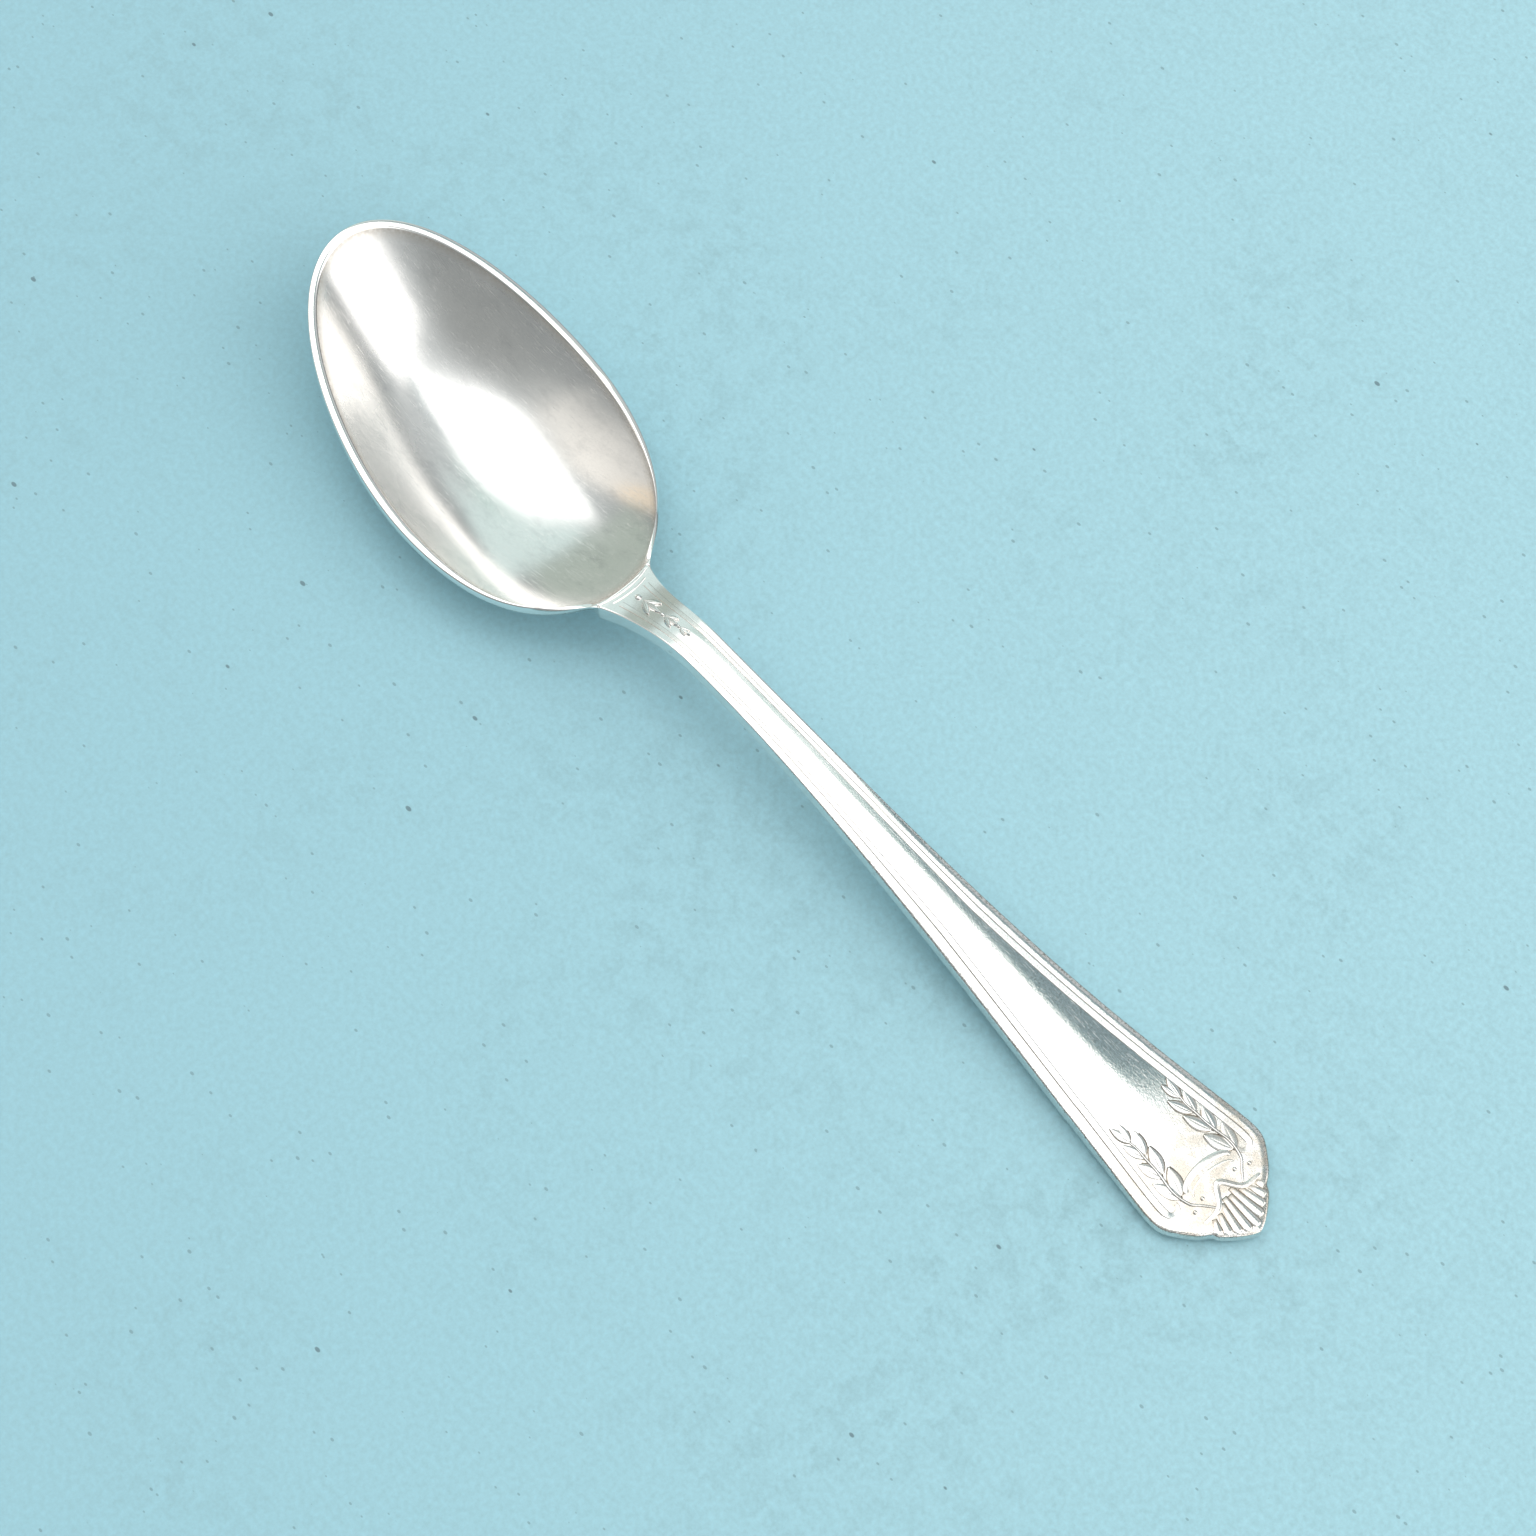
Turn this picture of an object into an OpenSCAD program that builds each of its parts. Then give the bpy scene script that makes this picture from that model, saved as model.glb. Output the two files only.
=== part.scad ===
// Teaspoon with a thread border, a husk drop at the neck, and two laurel
// sprays and a fluted shell at the end of the handle.
// X runs from the tip of the bowl to the end of the handle, Y is the width,
// Z is up. The origin lies on the table, under the middle of the outline.

/* [Overall] */
// Length from the tip of the bowl to the end of the handle
spoon_l = 150; // [135:1:170]

/* [Bowl] */
// Distance from the tip of the bowl to the neck
bowl_l = 53.2; // [48:0.1:58]
// Width across the rim
bowl_w = 29.9; // [26:0.1:34]
// How much fuller the heel of the outline is than its tip
bowl_egg = 0.11; // [0:0.01:0.2]
// How much fuller the outline is at both its ends than an ellipse
bowl_full = 0.06; // [0:0.01:0.15]
// How far the tip leans to one side of the handle's line
bowl_lean = 5.2; // [-6:0.1:6]
// Distance from the tip to the deepest point
bowl_deep_x = 25; // [20:0.5:30]
// Distance from the tip to the lowest place of the rim
rim_low_x = 32; // [28:0.5:36]
// Roundness of the bowl's hollow, larger is flatter at the bottom
bowl_round = 2.3; // [2:0.1:3]
// Width of the rim's top face
rim_w = 1.1; // [0.8:0.1:1.6]
// Height of the upright edge outside the rim
rim_edge_h = 1; // [0.6:0.1:1.6]
// Thickness of the bowl's floor
floor_t = 1; // [0.8:0.1:2]
// Depth of the flat that wear has left under the bowl
wear_d = 0.12; // [0.05:0.01:0.3]

/* [Heights] */
// Height of the rim at the tip
tip_h = 12.8; // [10:0.1:15]
// Height of the rim at its lowest place
rim_low_h = 8.2; // [7:0.1:11]
// Height of the top of the neck, where it leaves the bowl
neck_h = 8.5; // [7.6:0.1:11]
// Height of the top of the stem
stem_h = 12; // [10:0.1:15]
// Height of the top of the handle where its end begins
blade_h = 3.1; // [2.6:0.1:4]
// Height of the top of the handle at its last point
end_h = 1.8; // [1.4:0.1:2.2]

/* [Handle] */
// Width of the stem
stem_w = 4.5; // [3.5:0.1:6]
// Extra width of the neck where it meets the bowl
neck_flare = 2.5; // [1:0.1:4]
// Width across the shoulders
shoulder_w = 16.7; // [13:0.1:18]
// Length of the neck, from the bowl to the narrowest place of the stem
neck_l = 12.5; // [9:0.5:17]
// Thickness of the neck where it leaves the bowl
neck_t = 3.8; // [3:0.1:5]
// Thickness of the stem
stem_t = 3.3; // [2.5:0.1:4.5]
// Length of the straight stem after its narrowest place
stem_l = 8; // [5:0.5:12]
// Length of the flat end of the handle
end_l = 22; // [18:0.5:28]
// Distance of the shoulders from the last point
shoulder_d = 5.7; // [4:0.1:8]
// Depth of the notches beside the shell
notch_d = 0.35; // [0:0.05:0.6]
// Distance of the notches from the last point
notch_x = 3.1; // [2.5:0.1:4]
// Size of the bevel round the top face
edge_r = 0.4; // [0.2:0.05:0.6]

/* [Ornament] */
// Height of the relief above the surface
relief_h = 0.28; // [0.15:0.01:0.5]
// Width of a thread of the border
thread_w = 0.6; // [0.4:0.05:0.9]
// Distance of the thread from the edge of the handle
thread_in = 1.6; // [1.3:0.05:2]
// Radius of the curl that ends a thread
curl_r = 0.8; // [0.6:0.05:1]
// Distance of the curl from the last point
curl_d = 7.9; // [7:0.1:9]
// Width of the double line across the neck
band_w = 1.1; // [0.8:0.1:1.6]
// Distance of the double line from the bowl
band_gap = 0.15; // [0.1:0.05:0.5]
// Length of the husk drop on the neck
husk_l = 8; // [5:0.5:9]
// Width of the husk drop at its top
husk_w = 1.5; // [1:0.1:2]
// Length of a laurel leaf
leaf_l = 3.3; // [2.5:0.1:4]
// Width of a laurel leaf
leaf_w = 1.2; // [0.8:0.1:1.6]
// Pairs of leaves on a spray
leaf_pairs = 3; // [2:1:4]
// Angle between a leaf and its stem
leaf_a = 22; // [18:1:34]
// Length of a spray's stem
sprig_l = 10.3; // [8:0.1:12]
// Distance of the foot of a spray from the last point
sprig_d = 5; // [4.6:0.1:6]
// Width of a spray's stem
sprig_w = 0.4; // [0.3:0.05:0.6]
// Distance of a spray's stem from the middle of the handle
sprig_y = 3.5; // [3:0.1:4]
// Distance of the foot of a spray from the middle of the handle
sprig_foot = 2.6; // [2.2:0.1:3]
// Diameter of the berries beside a spray
berry_d = 0.6; // [0.4:0.05:0.8]
// Width of the scroll between the sprays
scroll_w = 0.55; // [0.4:0.05:0.8]
// Half the span of the scroll
scroll_y = 2.4; // [1.8:0.1:2.6]
// Height of the scroll's arch
scroll_h = 1.2; // [0.8:0.1:1.6]
// Distance of the feet of the scroll from the last point
scroll_d = 7.4; // [7:0.1:8]
// Flutes of the shell
flutes = 7; // [5:2:9]
// Distance of the root of the shell from the last point
shell_l = 5.6; // [5:0.1:6.2]
// Bare edge that the shell leaves round itself
shell_edge = 0.5; // [0.3:0.05:0.8]
// Half the angle of the shell's fan
shell_a = 50; // [40:1:54]
// Width of a flute
flute_w = 1.1; // [0.9:0.05:1.3]

/* [Hidden] */

// Steps along one side of the bowl, up its walls and across a handle section
side_n = 32;
wall_n = 9;
sec_n = 8;
// Steps along each stretch of the handle, along a thread and along a husk drop
neck_n = 20;
stem_n = 8;
blade_n = 26;
end_n = 26;
thread_n = 60;
husk_n = 18;
// Steps along a spray's stem and along one side of a leaf
sprig_n = 10;
leaf_n = 8;

// How far the egg outline and the hollow stop short of the neck
heel_gap = 1;
hollow_gap = 1;
// Gap between the threads and the top of the husk drop
husk_gap = 0.5;

// Places along the spoon, from the tip of the bowl
egg_l = bowl_l - heel_gap;
hollow_l = bowl_l - hollow_gap - rim_w;
stem_x = bowl_l + neck_l;
stem_end_x = stem_x + stem_l;
end_x = spoon_l - end_l;
shoulder_x = spoon_l - shoulder_d;
band_x = bowl_l + band_gap;
thread_x = band_x + band_w + band_gap;
husk_x = thread_x + husk_gap;
curl_x = spoon_l - curl_d;
sprig_x = spoon_l - sprig_d;
scroll_x = spoon_l - scroll_d;
shell_x = spoon_l - shell_l;

// Roundings of the outline where two curves run into each other
neck_blend = 2;
shoulder_blend = 1.2;
// Shape of the lobe at the end of the handle
lobe_w = 2.05;
lobe_p = 0.7;
notch_w = 0.5;
// How quickly the neck's extra width runs out
flare_run = 4;
// How the lean grows towards the tip
lean_p = 1.25;
// Half the angle of the bowl's inner edge that the neck takes up
neck_a = 13;
// How quickly the ridge under the neck fades out on the back of the bowl
ridge_p = 6;
// How the upright edge of the rim grows into the side of the neck
side_p = 3;
// Place of the rim's crest between its outer and inner edges, and the inner edge's depth under it
crest_share = 0.6;
rim_drop = 0.1;
// Half the width left at the blunt last point of the handle
blunt_w = 0.35;
// Slopes of the top line at the tip, the neck and the stem
tip_s = -0.22;
neck_s = 0.22;
stem_s = -0.03;
// Slopes of the thickness at the neck and the stem
neck_ts = -0.05;
stem_ts = -0.01;
// Side wall of a handle section as a share of its thickness, and its roundness
wall_share = 0.45;
sec_round = 3;
// Largest share of the half width at which a thread runs on the narrow stem
thread_share = 0.42;
// Gap that keeps a relief clear of the faceted surface under it
seat = 0.03;

silver = [0.86, 0.86, 0.84];
worn_silver = [0.8, 0.8, 0.78];
struck_silver = [0.92, 0.91, 0.88];

// Smooth larger and smaller of two values
function smax(a, b, k) = (a + b + sqrt((a - b) * (a - b) + k * k)) / 2;
function smin(a, b, k) = (a + b - sqrt((a - b) * (a - b) + k * k)) / 2;

// Smooth curve between two points with a slope at each
function ease(x, x0, z0, s0, x1, z1, s1) =
    let (l = x1 - x0, u = (x - x0) / l, v = 1 - u)
    z0 * v * v * (1 + 2 * u) + z1 * u * u * (1 + 2 * v) + l * u * v * (s0 * v - s1 * u);

// Height of the rim and of the handle's top face
end_s = (end_h - blade_h) / end_l;
function top_z(x) =
    x < rim_low_x ? ease(x, 0, tip_h, tip_s, rim_low_x, rim_low_h, 0)
    : x < bowl_l ? ease(x, rim_low_x, rim_low_h, 0, bowl_l, neck_h, neck_s)
    : x < stem_x ? ease(x, bowl_l, neck_h, neck_s, stem_x, stem_h, stem_s)
    : x < end_x ? ease(x, stem_x, stem_h, stem_s, end_x, blade_h, end_s)
    : blade_h + (x - end_x) * end_s;

// Thickness of the handle, whose end reaches down to the table
function thick(x) =
    x < stem_x ? ease(x, bowl_l, neck_t, neck_ts, stem_x, stem_t, stem_ts)
    : x < end_x ? ease(x, stem_x, stem_t, stem_ts, end_x, blade_h + wear_d, 0)
    : top_z(x) + wear_d;

// Half the width of the egg-shaped bowl, of the handle and of the whole outline
function egg(u, w) =
    let (c = 1 - 2 * u, swell = 1 - bowl_egg * c + bowl_full * c * c)
    u <= 0 || u >= 1 ? 0 : w / 2 * sqrt(1 - c * c) * swell / (1 + bowl_egg * bowl_egg / 2);
function flare_w(x) =
    let (v = max(0, (x - stem_x) / (shoulder_x - stem_x)))
    stem_w / 2 + (shoulder_w - stem_w) / 2 * v * v + neck_flare / 2 * exp(-(x - bowl_l) / flare_run);
function lobe(d) = lobe_w * pow(max(d, 0), lobe_p) - notch_d * exp(-pow((d - notch_x) / notch_w, 2));
function half_w(x) =
    x < rim_low_x ? egg(x / egg_l, bowl_w)
    : x < end_x ? smax(egg(x / egg_l, bowl_w), flare_w(max(x, bowl_l)), neck_blend * narrow(x))
    : max(blunt_w, smin(flare_w(x), lobe(spoon_l - x), shoulder_blend));
// Share of the neck's rounding, which starts at the widest part of the bowl
function narrow(x) = x > bowl_l ? exp(-(x - bowl_l) / flare_run) : (x - rim_low_x) / (bowl_l - rim_low_x);

// Sideways lean of the bowl's middle line
function lean(x) = x >= bowl_l ? 0 : bowl_lean * pow(1 - x / bowl_l, lean_p);

// One section of the handle: the top from left to right, then the back from left to right
function across(k) = sin(90 * (2 * k / sec_n - 1));
function top_row(x) =
    let (w = half_w(x), r = min(edge_r, w / 3), z = top_z(x))
    [for (k = [0:sec_n]) k == 0 || k == sec_n ? [x, across(k) * w, z - r] : [x, across(k) * (w - r), z]];
function back_row(x) =
    let (w = half_w(x), z = top_z(x), t = thick(x), h = t * wall_share)
    [for (k = [0:sec_n])
        let (v = across(k))
        [x, v * w, z - h - (t - h) * pow(1 - pow(abs(v), sec_round), 1 / sec_round)]];

// Columns round the bowl: the right side to the tip, the left side back, then across the neck
side_a = [for (i = [-side_n:side_n]) 180 * i / side_n];
col_n = len(side_a) + sec_n - 1;
function outer_edge(a) = let (x = bowl_l / 2 * (1 - cos(a))) [x, -sign(a) * half_w(x), top_z(x)];
function inner_edge(a) =
    let (u = (1 - cos(a)) / 2, x = rim_w + hollow_l * u)
    [x, -sign(a) * egg(u, bowl_w - 2 * rim_w), top_z(x)];
function neck_col(j) = j - len(side_a) + 1;
function col_a(j) = j < len(side_a) ? side_a[j] * (180 - neck_a) / 180
    : 180 - neck_a + 2 * neck_a * neck_col(j) / sec_n;
function on_side(j) = j < len(side_a);
function lean_to(p) = [p[0], p[1] + lean(p[0]), p[2]];

// The rows of one column, from the middle of the hollow over the rim to the middle of the back
mid = [bowl_deep_x, lean(bowl_deep_x)];
function rise(p, z0, r) =
    [mid[0] + (p[0] - mid[0]) * r, mid[1] + (p[1] - mid[1]) * r, z0 + (p[2] - z0) * pow(r, bowl_round)];
function column(j) =
    let (a = col_a(j), k = neck_col(j), inner = lean_to(inner_edge(a > 180 ? a - 360 : a)),
         outer = on_side(j) ? lean_to(outer_edge(side_a[j])) : [],
         top = on_side(j) ? outer - [0, 0, edge_r] : top_row(bowl_l)[k],
         back = back_row(bowl_l),
         low = on_side(j) ? outer - [0, 0, rim_side(outer[0])] : [back[k][0], back[k][1], back[0][2]],
         ridge = on_side(j) ? 0 : back[k][2] - back[0][2],
         crest = on_side(j) ? inner * crest_share + outer * (1 - crest_share) : (inner + top) / 2)
    concat([for (n = [1:wall_n]) rise(inner - [0, 0, rim_drop], floor_t, n / wall_n)],
           [crest, top],
           [for (n = [wall_n:-1:1])
               let (r = n / wall_n)
               rise(low, -wear_d, r) + [0, 0, ridge * pow(r, ridge_p)]]);
// Upright edge of the rim, which grows into the side of the neck
function rim_side(x) =
    let (u = max(0, x - rim_low_x) / (bowl_l - rim_low_x))
    rim_edge_h + (wall_share * neck_t - rim_edge_h) * pow(u, side_p);

// Middle of the outline, which the origin lies under
edge_y = [for (a = side_a) lean_to(outer_edge(a))[1]];
origin = [spoon_l / 2, (max(edge_y) + min(edge_y)) / 2, 0];

// Puts a shape in its place over the origin
module placed() { translate(-origin) children(); }

// A block under the table that cuts the rest flats
module below() { translate([-spoon_l, -bowl_w, -bowl_w]) cube([3 * spoon_l, 2 * bowl_w, bowl_w]); }

// Closed skin through rings of points, with a strip of faces over each end
module skin_rings(rings, cap) {
    n = len(rings[0]);
    last = (len(rings) - 1) * n;
    polyhedron(
        points = [for (r = rings) each r],
        faces = concat(
            [for (i = [0:len(rings) - 2]) for (j = [0:n - 1])
                let (a = i * n + j, b = i * n + (j + 1) % n)
                each [[a, b + n, b], [a, a + n, b + n]]],
            [for (f = cap) [f[2], f[1], f[0]]],
            [for (f = cap) [f[0] + last, f[1] + last, f[2] + last]]));
}

// One section of the handle as a ring, and the faces over its end
function ring(x) = let (t = top_row(x)) concat(back_row(x), [for (k = [sec_n:-1:0]) t[k]]);
sec_cap = [for (k = [0:sec_n - 1])
    let (a = k, b = k + 1, c = 2 * sec_n + 1 - k, d = c - 1)
    each [[a, d, b], [a, c, d]]];

// Stations between two places, evenly spaced or closer together towards the end
function stations(x0, x1, n) = [for (i = [0:n]) x0 + (x1 - x0) * i / n];
function closing(x0, x1, n) = [for (i = [0:n]) x0 + (x1 - x0) * sin(90 * i / n)];

module handle_part(xs) { skin_rings([for (x = xs) ring(x)], sec_cap); }

module bowl() {
    cols = [for (j = [0:col_n - 1]) column(j)];
    rows = len(cols[0]);
    pts = concat([[mid[0], mid[1], floor_t], [mid[0], mid[1], -wear_d]], [for (c = cols) each c]);
    color(silver) placed() difference() {
        polyhedron(
            points = pts,
            faces = [for (j = [0:col_n - 1])
                let (a = 2 + j * rows, b = 2 + ((j + 1) % col_n) * rows, e = rows - 1)
                each concat([[0, b, a], [1, a + e, b + e]],
                            [for (i = [0:rows - 2])
                                each [[a + i, b + i + 1, a + i + 1], [a + i, b + i, b + i + 1]]])]);
        below();
    }
}

module neck() { color(silver) placed() handle_part(stations(bowl_l, stem_x, neck_n)); }
module stem() { color(silver) placed() handle_part(stations(stem_x, stem_end_x, stem_n)); }
module handle_blade() {
    color(silver) placed() difference() {
        handle_part(stations(stem_end_x, end_x, blade_n));
        below();
    }
}
module terminal() {
    color(silver) placed() difference() {
        handle_part(closing(end_x, spoon_l, end_n));
        below();
    }
}

// A half-round thread swept along points on the top face
module thread_along(path, w) {
    n = len(path);
    half = [for (a = [0:45:180]) [-cos(a) * w / 2, sin(a) * relief_h]];
    skin_rings(
        [for (i = [0:n - 1])
            let (d = path[min(i + 1, n - 1)] - path[max(i - 1, 0)], s = [d[1], -d[0]] / norm(d), p = path[i])
            [for (h = half)
                let (x = p[0] + s[0] * h[0], y = p[1] + s[1] * h[0])
                [x, y, top_z(x) + seat + h[1]]]],
        [[0, 2, 1], [0, 3, 2], [0, 4, 3]]);
}

// Line of a border thread on the left side, with the curl at its end
curl_c = [curl_x, half_w(curl_x) - thread_in - curl_r];
thread_path = concat(
    [for (x = stations(thread_x, curl_x, thread_n))
        [x, half_w(x) - min(thread_in, half_w(x) * thread_share)]],
    [for (a = [70:-20:-90]) curl_c + curl_r * [cos(a), sin(a)]]);
function other_side(path) = [for (p = path) [p[0], -p[1]]];

module left_thread() { color(struck_silver) placed() thread_along(other_side(thread_path), thread_w); }
module right_thread() { color(struck_silver) placed() thread_along(thread_path, thread_w); }

// Two ridges across the neck, side by side in one strip
module neck_band() {
    w = half_w(band_x) - edge_r - thread_w;
    ridge = [[0, 0], [0.25, 1], [0.5, 0.35], [0.75, 1], [1, 0]];
    color(struck_silver) placed() skin_rings(
        [for (y = stations(-w, w, sec_n))
            [for (r = ridge)
                let (x = band_x + band_w * r[0])
                [x, y, top_z(x) + seat + relief_h * r[1]]]],
        [[0, 2, 1], [0, 4, 2], [2, 4, 3]]);
}

// Three husks, each hanging out of the one before and smaller than it
husk_turn = 540;
husk_start = 40;
husk_taper = 0.75;
husk_waist = 0.35;
husk_tip = 0.08;
function husk_half(u) =
    let (swell = husk_waist + (1 - husk_waist) * abs(sin(husk_turn * u + husk_start)))
    max(husk_tip, husk_w / 2 * (1 - husk_taper * u) * swell);
module husk_drop() {
    color(struck_silver) placed() skin_rings(
        [for (i = [0:husk_n])
            let (u = i / husk_n, x = husk_x + husk_l * u, w = husk_half(u))
            [for (a = [0:36:180])
                [x, cos(a) * w, top_z(x) + seat + sin(a) * min(relief_h, w)]]],
        [[0, 2, 1], [0, 3, 2], [0, 4, 3], [0, 5, 4]]);
}

// Lays flat outlines on the sloping plane of the handle's end and gives them the relief's height
module struck() {
    translate([end_x, 0, blade_h]) rotate([0, -atan(end_s), 0]) linear_extrude(relief_h)
        translate([-end_x, 0]) children();
}

// Outline of a pointed leaf along X, widest a little before its middle
leaf_p = 0.85;
function leaf_side(u) = sin(180 * pow(u, leaf_p)) / 2;
module leaf(l, w) {
    polygon(concat(
        [for (i = [0:leaf_n]) [l * i / leaf_n, w * leaf_side(i / leaf_n)]],
        [for (i = [leaf_n - 1:-1:1]) [l * i / leaf_n, -w * leaf_side(i / leaf_n)]]));
}

// A stroke of one width along points
stroke_fn = 10;
module stroke(path, w) {
    for (i = [0:len(path) - 2]) hull() {
        translate(path[i]) circle(d = w, $fn = stroke_fn);
        translate(path[i + 1]) circle(d = w, $fn = stroke_fn);
    }
}

// Middle line of a spray's stem, from the shell towards the bowl
sprig_p = 5;
function sprig_at(u) = [sprig_x - sprig_l * u, sprig_y - (sprig_y - sprig_foot) * pow(1 - u, sprig_p)];

// A laurel spray: a stem, pairs of leaves, a leaf at the tip and berries at the foot.
// The shares are places along the stem, and leaves grow smaller by leaf_less_share from pair to pair.
first_leaf_share = 0.25;
last_leaf_share = 0.98;
berry_share = 0.1;
berry_touch = 0.05;
berry_y = (sprig_w + berry_d) / 2 - berry_touch;
berry_fn = 24;
leaf_less_share = 0.06;
tip_leaf_share = 0.8;
function leaf_size(i) = 1 - leaf_less_share * i;
module spray() {
    stroke([for (i = [0:sprig_n]) sprig_at(i / sprig_n)], sprig_w);
    for (i = [0:leaf_pairs - 1]) for (s = [-1, 1])
        translate(sprig_at(first_leaf_share + (last_leaf_share - first_leaf_share) * i / leaf_pairs))
            rotate(180 + s * leaf_a) leaf(leaf_l * leaf_size(i), leaf_w * leaf_size(i));
    translate(sprig_at(last_leaf_share)) rotate(180) leaf(leaf_l * tip_leaf_share, leaf_w * tip_leaf_share);
    for (s = [-1, 1])
        translate(sprig_at(berry_share) + [0, s * berry_y]) circle(d = berry_d, $fn = berry_fn);
}

module right_spray() { color(struck_silver) placed() struck() spray(); }
module left_spray() { color(struck_silver) placed() struck() mirror([0, 1]) spray(); }

// An arched scroll between the feet of the two sprays
arch_n = 8;
module scroll() {
    arch = [for (a = stations(-90, 90, arch_n)) [scroll_x - scroll_h * cos(a), scroll_y * sin(a)]];
    color(struck_silver) placed() struck() stroke(arch, scroll_w);
}

// A fan of flutes that ends near the outline of the handle's end, with its outer flutes the shortest
shell_less = 0.0022;
function flute_l(a) = shell_l * (1 - shell_less * abs(a)) - shell_edge;
module shell_crest() {
    color(worn_silver) placed() struck() for (a = stations(-shell_a, shell_a, flutes - 1))
        translate([shell_x, 0]) rotate(a) leaf(flute_l(a), flute_w);
}

bowl();
neck();
stem();
handle_blade();
terminal();
left_thread();
right_thread();
neck_band();
husk_drop();
left_spray();
right_spray();
scroll();
shell_crest();
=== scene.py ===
"""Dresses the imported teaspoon: plated bowl and handle, struck ornament, paper, studio light and camera.

Shapes are worked out in millimetres along the spoon, from the tip of the bowl (station 0) to the end
of the handle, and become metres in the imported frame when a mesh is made.
"""
import logging
import math
from dataclasses import dataclass, field
from enum import Enum
from typing import Any, Optional, Sequence

import bpy
import numpy as np
from mathutils import Matrix, Vector


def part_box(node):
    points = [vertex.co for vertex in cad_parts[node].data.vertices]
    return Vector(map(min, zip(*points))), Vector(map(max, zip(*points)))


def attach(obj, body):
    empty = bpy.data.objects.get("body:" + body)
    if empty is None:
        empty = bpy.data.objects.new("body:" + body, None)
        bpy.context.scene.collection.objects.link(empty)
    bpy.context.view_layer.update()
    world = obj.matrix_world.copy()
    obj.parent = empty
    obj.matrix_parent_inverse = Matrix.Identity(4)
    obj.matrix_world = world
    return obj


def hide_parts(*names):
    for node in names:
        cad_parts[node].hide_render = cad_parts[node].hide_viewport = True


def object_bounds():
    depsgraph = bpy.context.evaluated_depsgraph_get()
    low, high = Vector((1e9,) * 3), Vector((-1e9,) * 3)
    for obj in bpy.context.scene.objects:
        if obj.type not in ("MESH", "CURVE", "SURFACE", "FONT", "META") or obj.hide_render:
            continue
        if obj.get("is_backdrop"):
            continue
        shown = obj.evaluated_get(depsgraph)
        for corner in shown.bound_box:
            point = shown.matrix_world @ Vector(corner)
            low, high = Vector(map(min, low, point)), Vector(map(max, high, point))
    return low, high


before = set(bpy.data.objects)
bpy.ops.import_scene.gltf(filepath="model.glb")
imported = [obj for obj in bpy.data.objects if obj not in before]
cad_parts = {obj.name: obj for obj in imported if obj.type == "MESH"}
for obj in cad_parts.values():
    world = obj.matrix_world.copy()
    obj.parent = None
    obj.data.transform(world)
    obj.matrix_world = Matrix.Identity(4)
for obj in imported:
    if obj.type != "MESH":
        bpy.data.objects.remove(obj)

LOG = logging.getLogger("teaspoon")
MM = 0.001
IMAGE_SIDE = 1536
BODY = "root"
RECESS = "recess"
PATINA = "patina"
EDGE = "edge"
SATIN = "satin"

Array = np.ndarray


class Slot(Enum):
    """Material slots of the record."""

    PLATE = "silver_plate"
    STRUCK = "struck_silver"


class Side(Enum):
    """The two sides of the handle, as the sign of y."""

    LEFT = -1
    RIGHT = 1


def smooth_max(a: Array, b: Array, k: Array | float) -> Array:
    """Smooth larger of two values."""
    return (a + b + np.sqrt((a - b) ** 2 + k * k)) / 2


def smooth_min(a: Array, b: Array, k: Array | float) -> Array:
    """Smooth smaller of two values."""
    return (a + b - np.sqrt((a - b) ** 2 + k * k)) / 2


def smooth_step(x: Array | float, low: float, high: float) -> Array:
    """Share from 0 at low to 1 at high with soft ends."""
    t = np.clip((np.asarray(x, float) - low) / (high - low), 0.0, 1.0)
    return t * t * (3 - 2 * t)


def ease(x: Array, x0: float, z0: float, s0: float, x1: float, z1: float, s1: float) -> Array:
    """Smooth curve between two points with a slope at each.

    Args:
        x: Stations.
        x0: Station of the first point.
        z0: Height of the first point.
        s0: Slope at the first point.
        x1: Station of the second point.
        z1: Height of the second point.
        s1: Slope at the second point.

    Returns:
        The height at each station.
    """
    run = x1 - x0
    u = (x - x0) / run
    v = 1 - u
    return z0 * v * v * (1 + 2 * u) + z1 * u * u * (1 + 2 * v) + run * u * v * (s0 * v - s1 * u)


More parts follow.
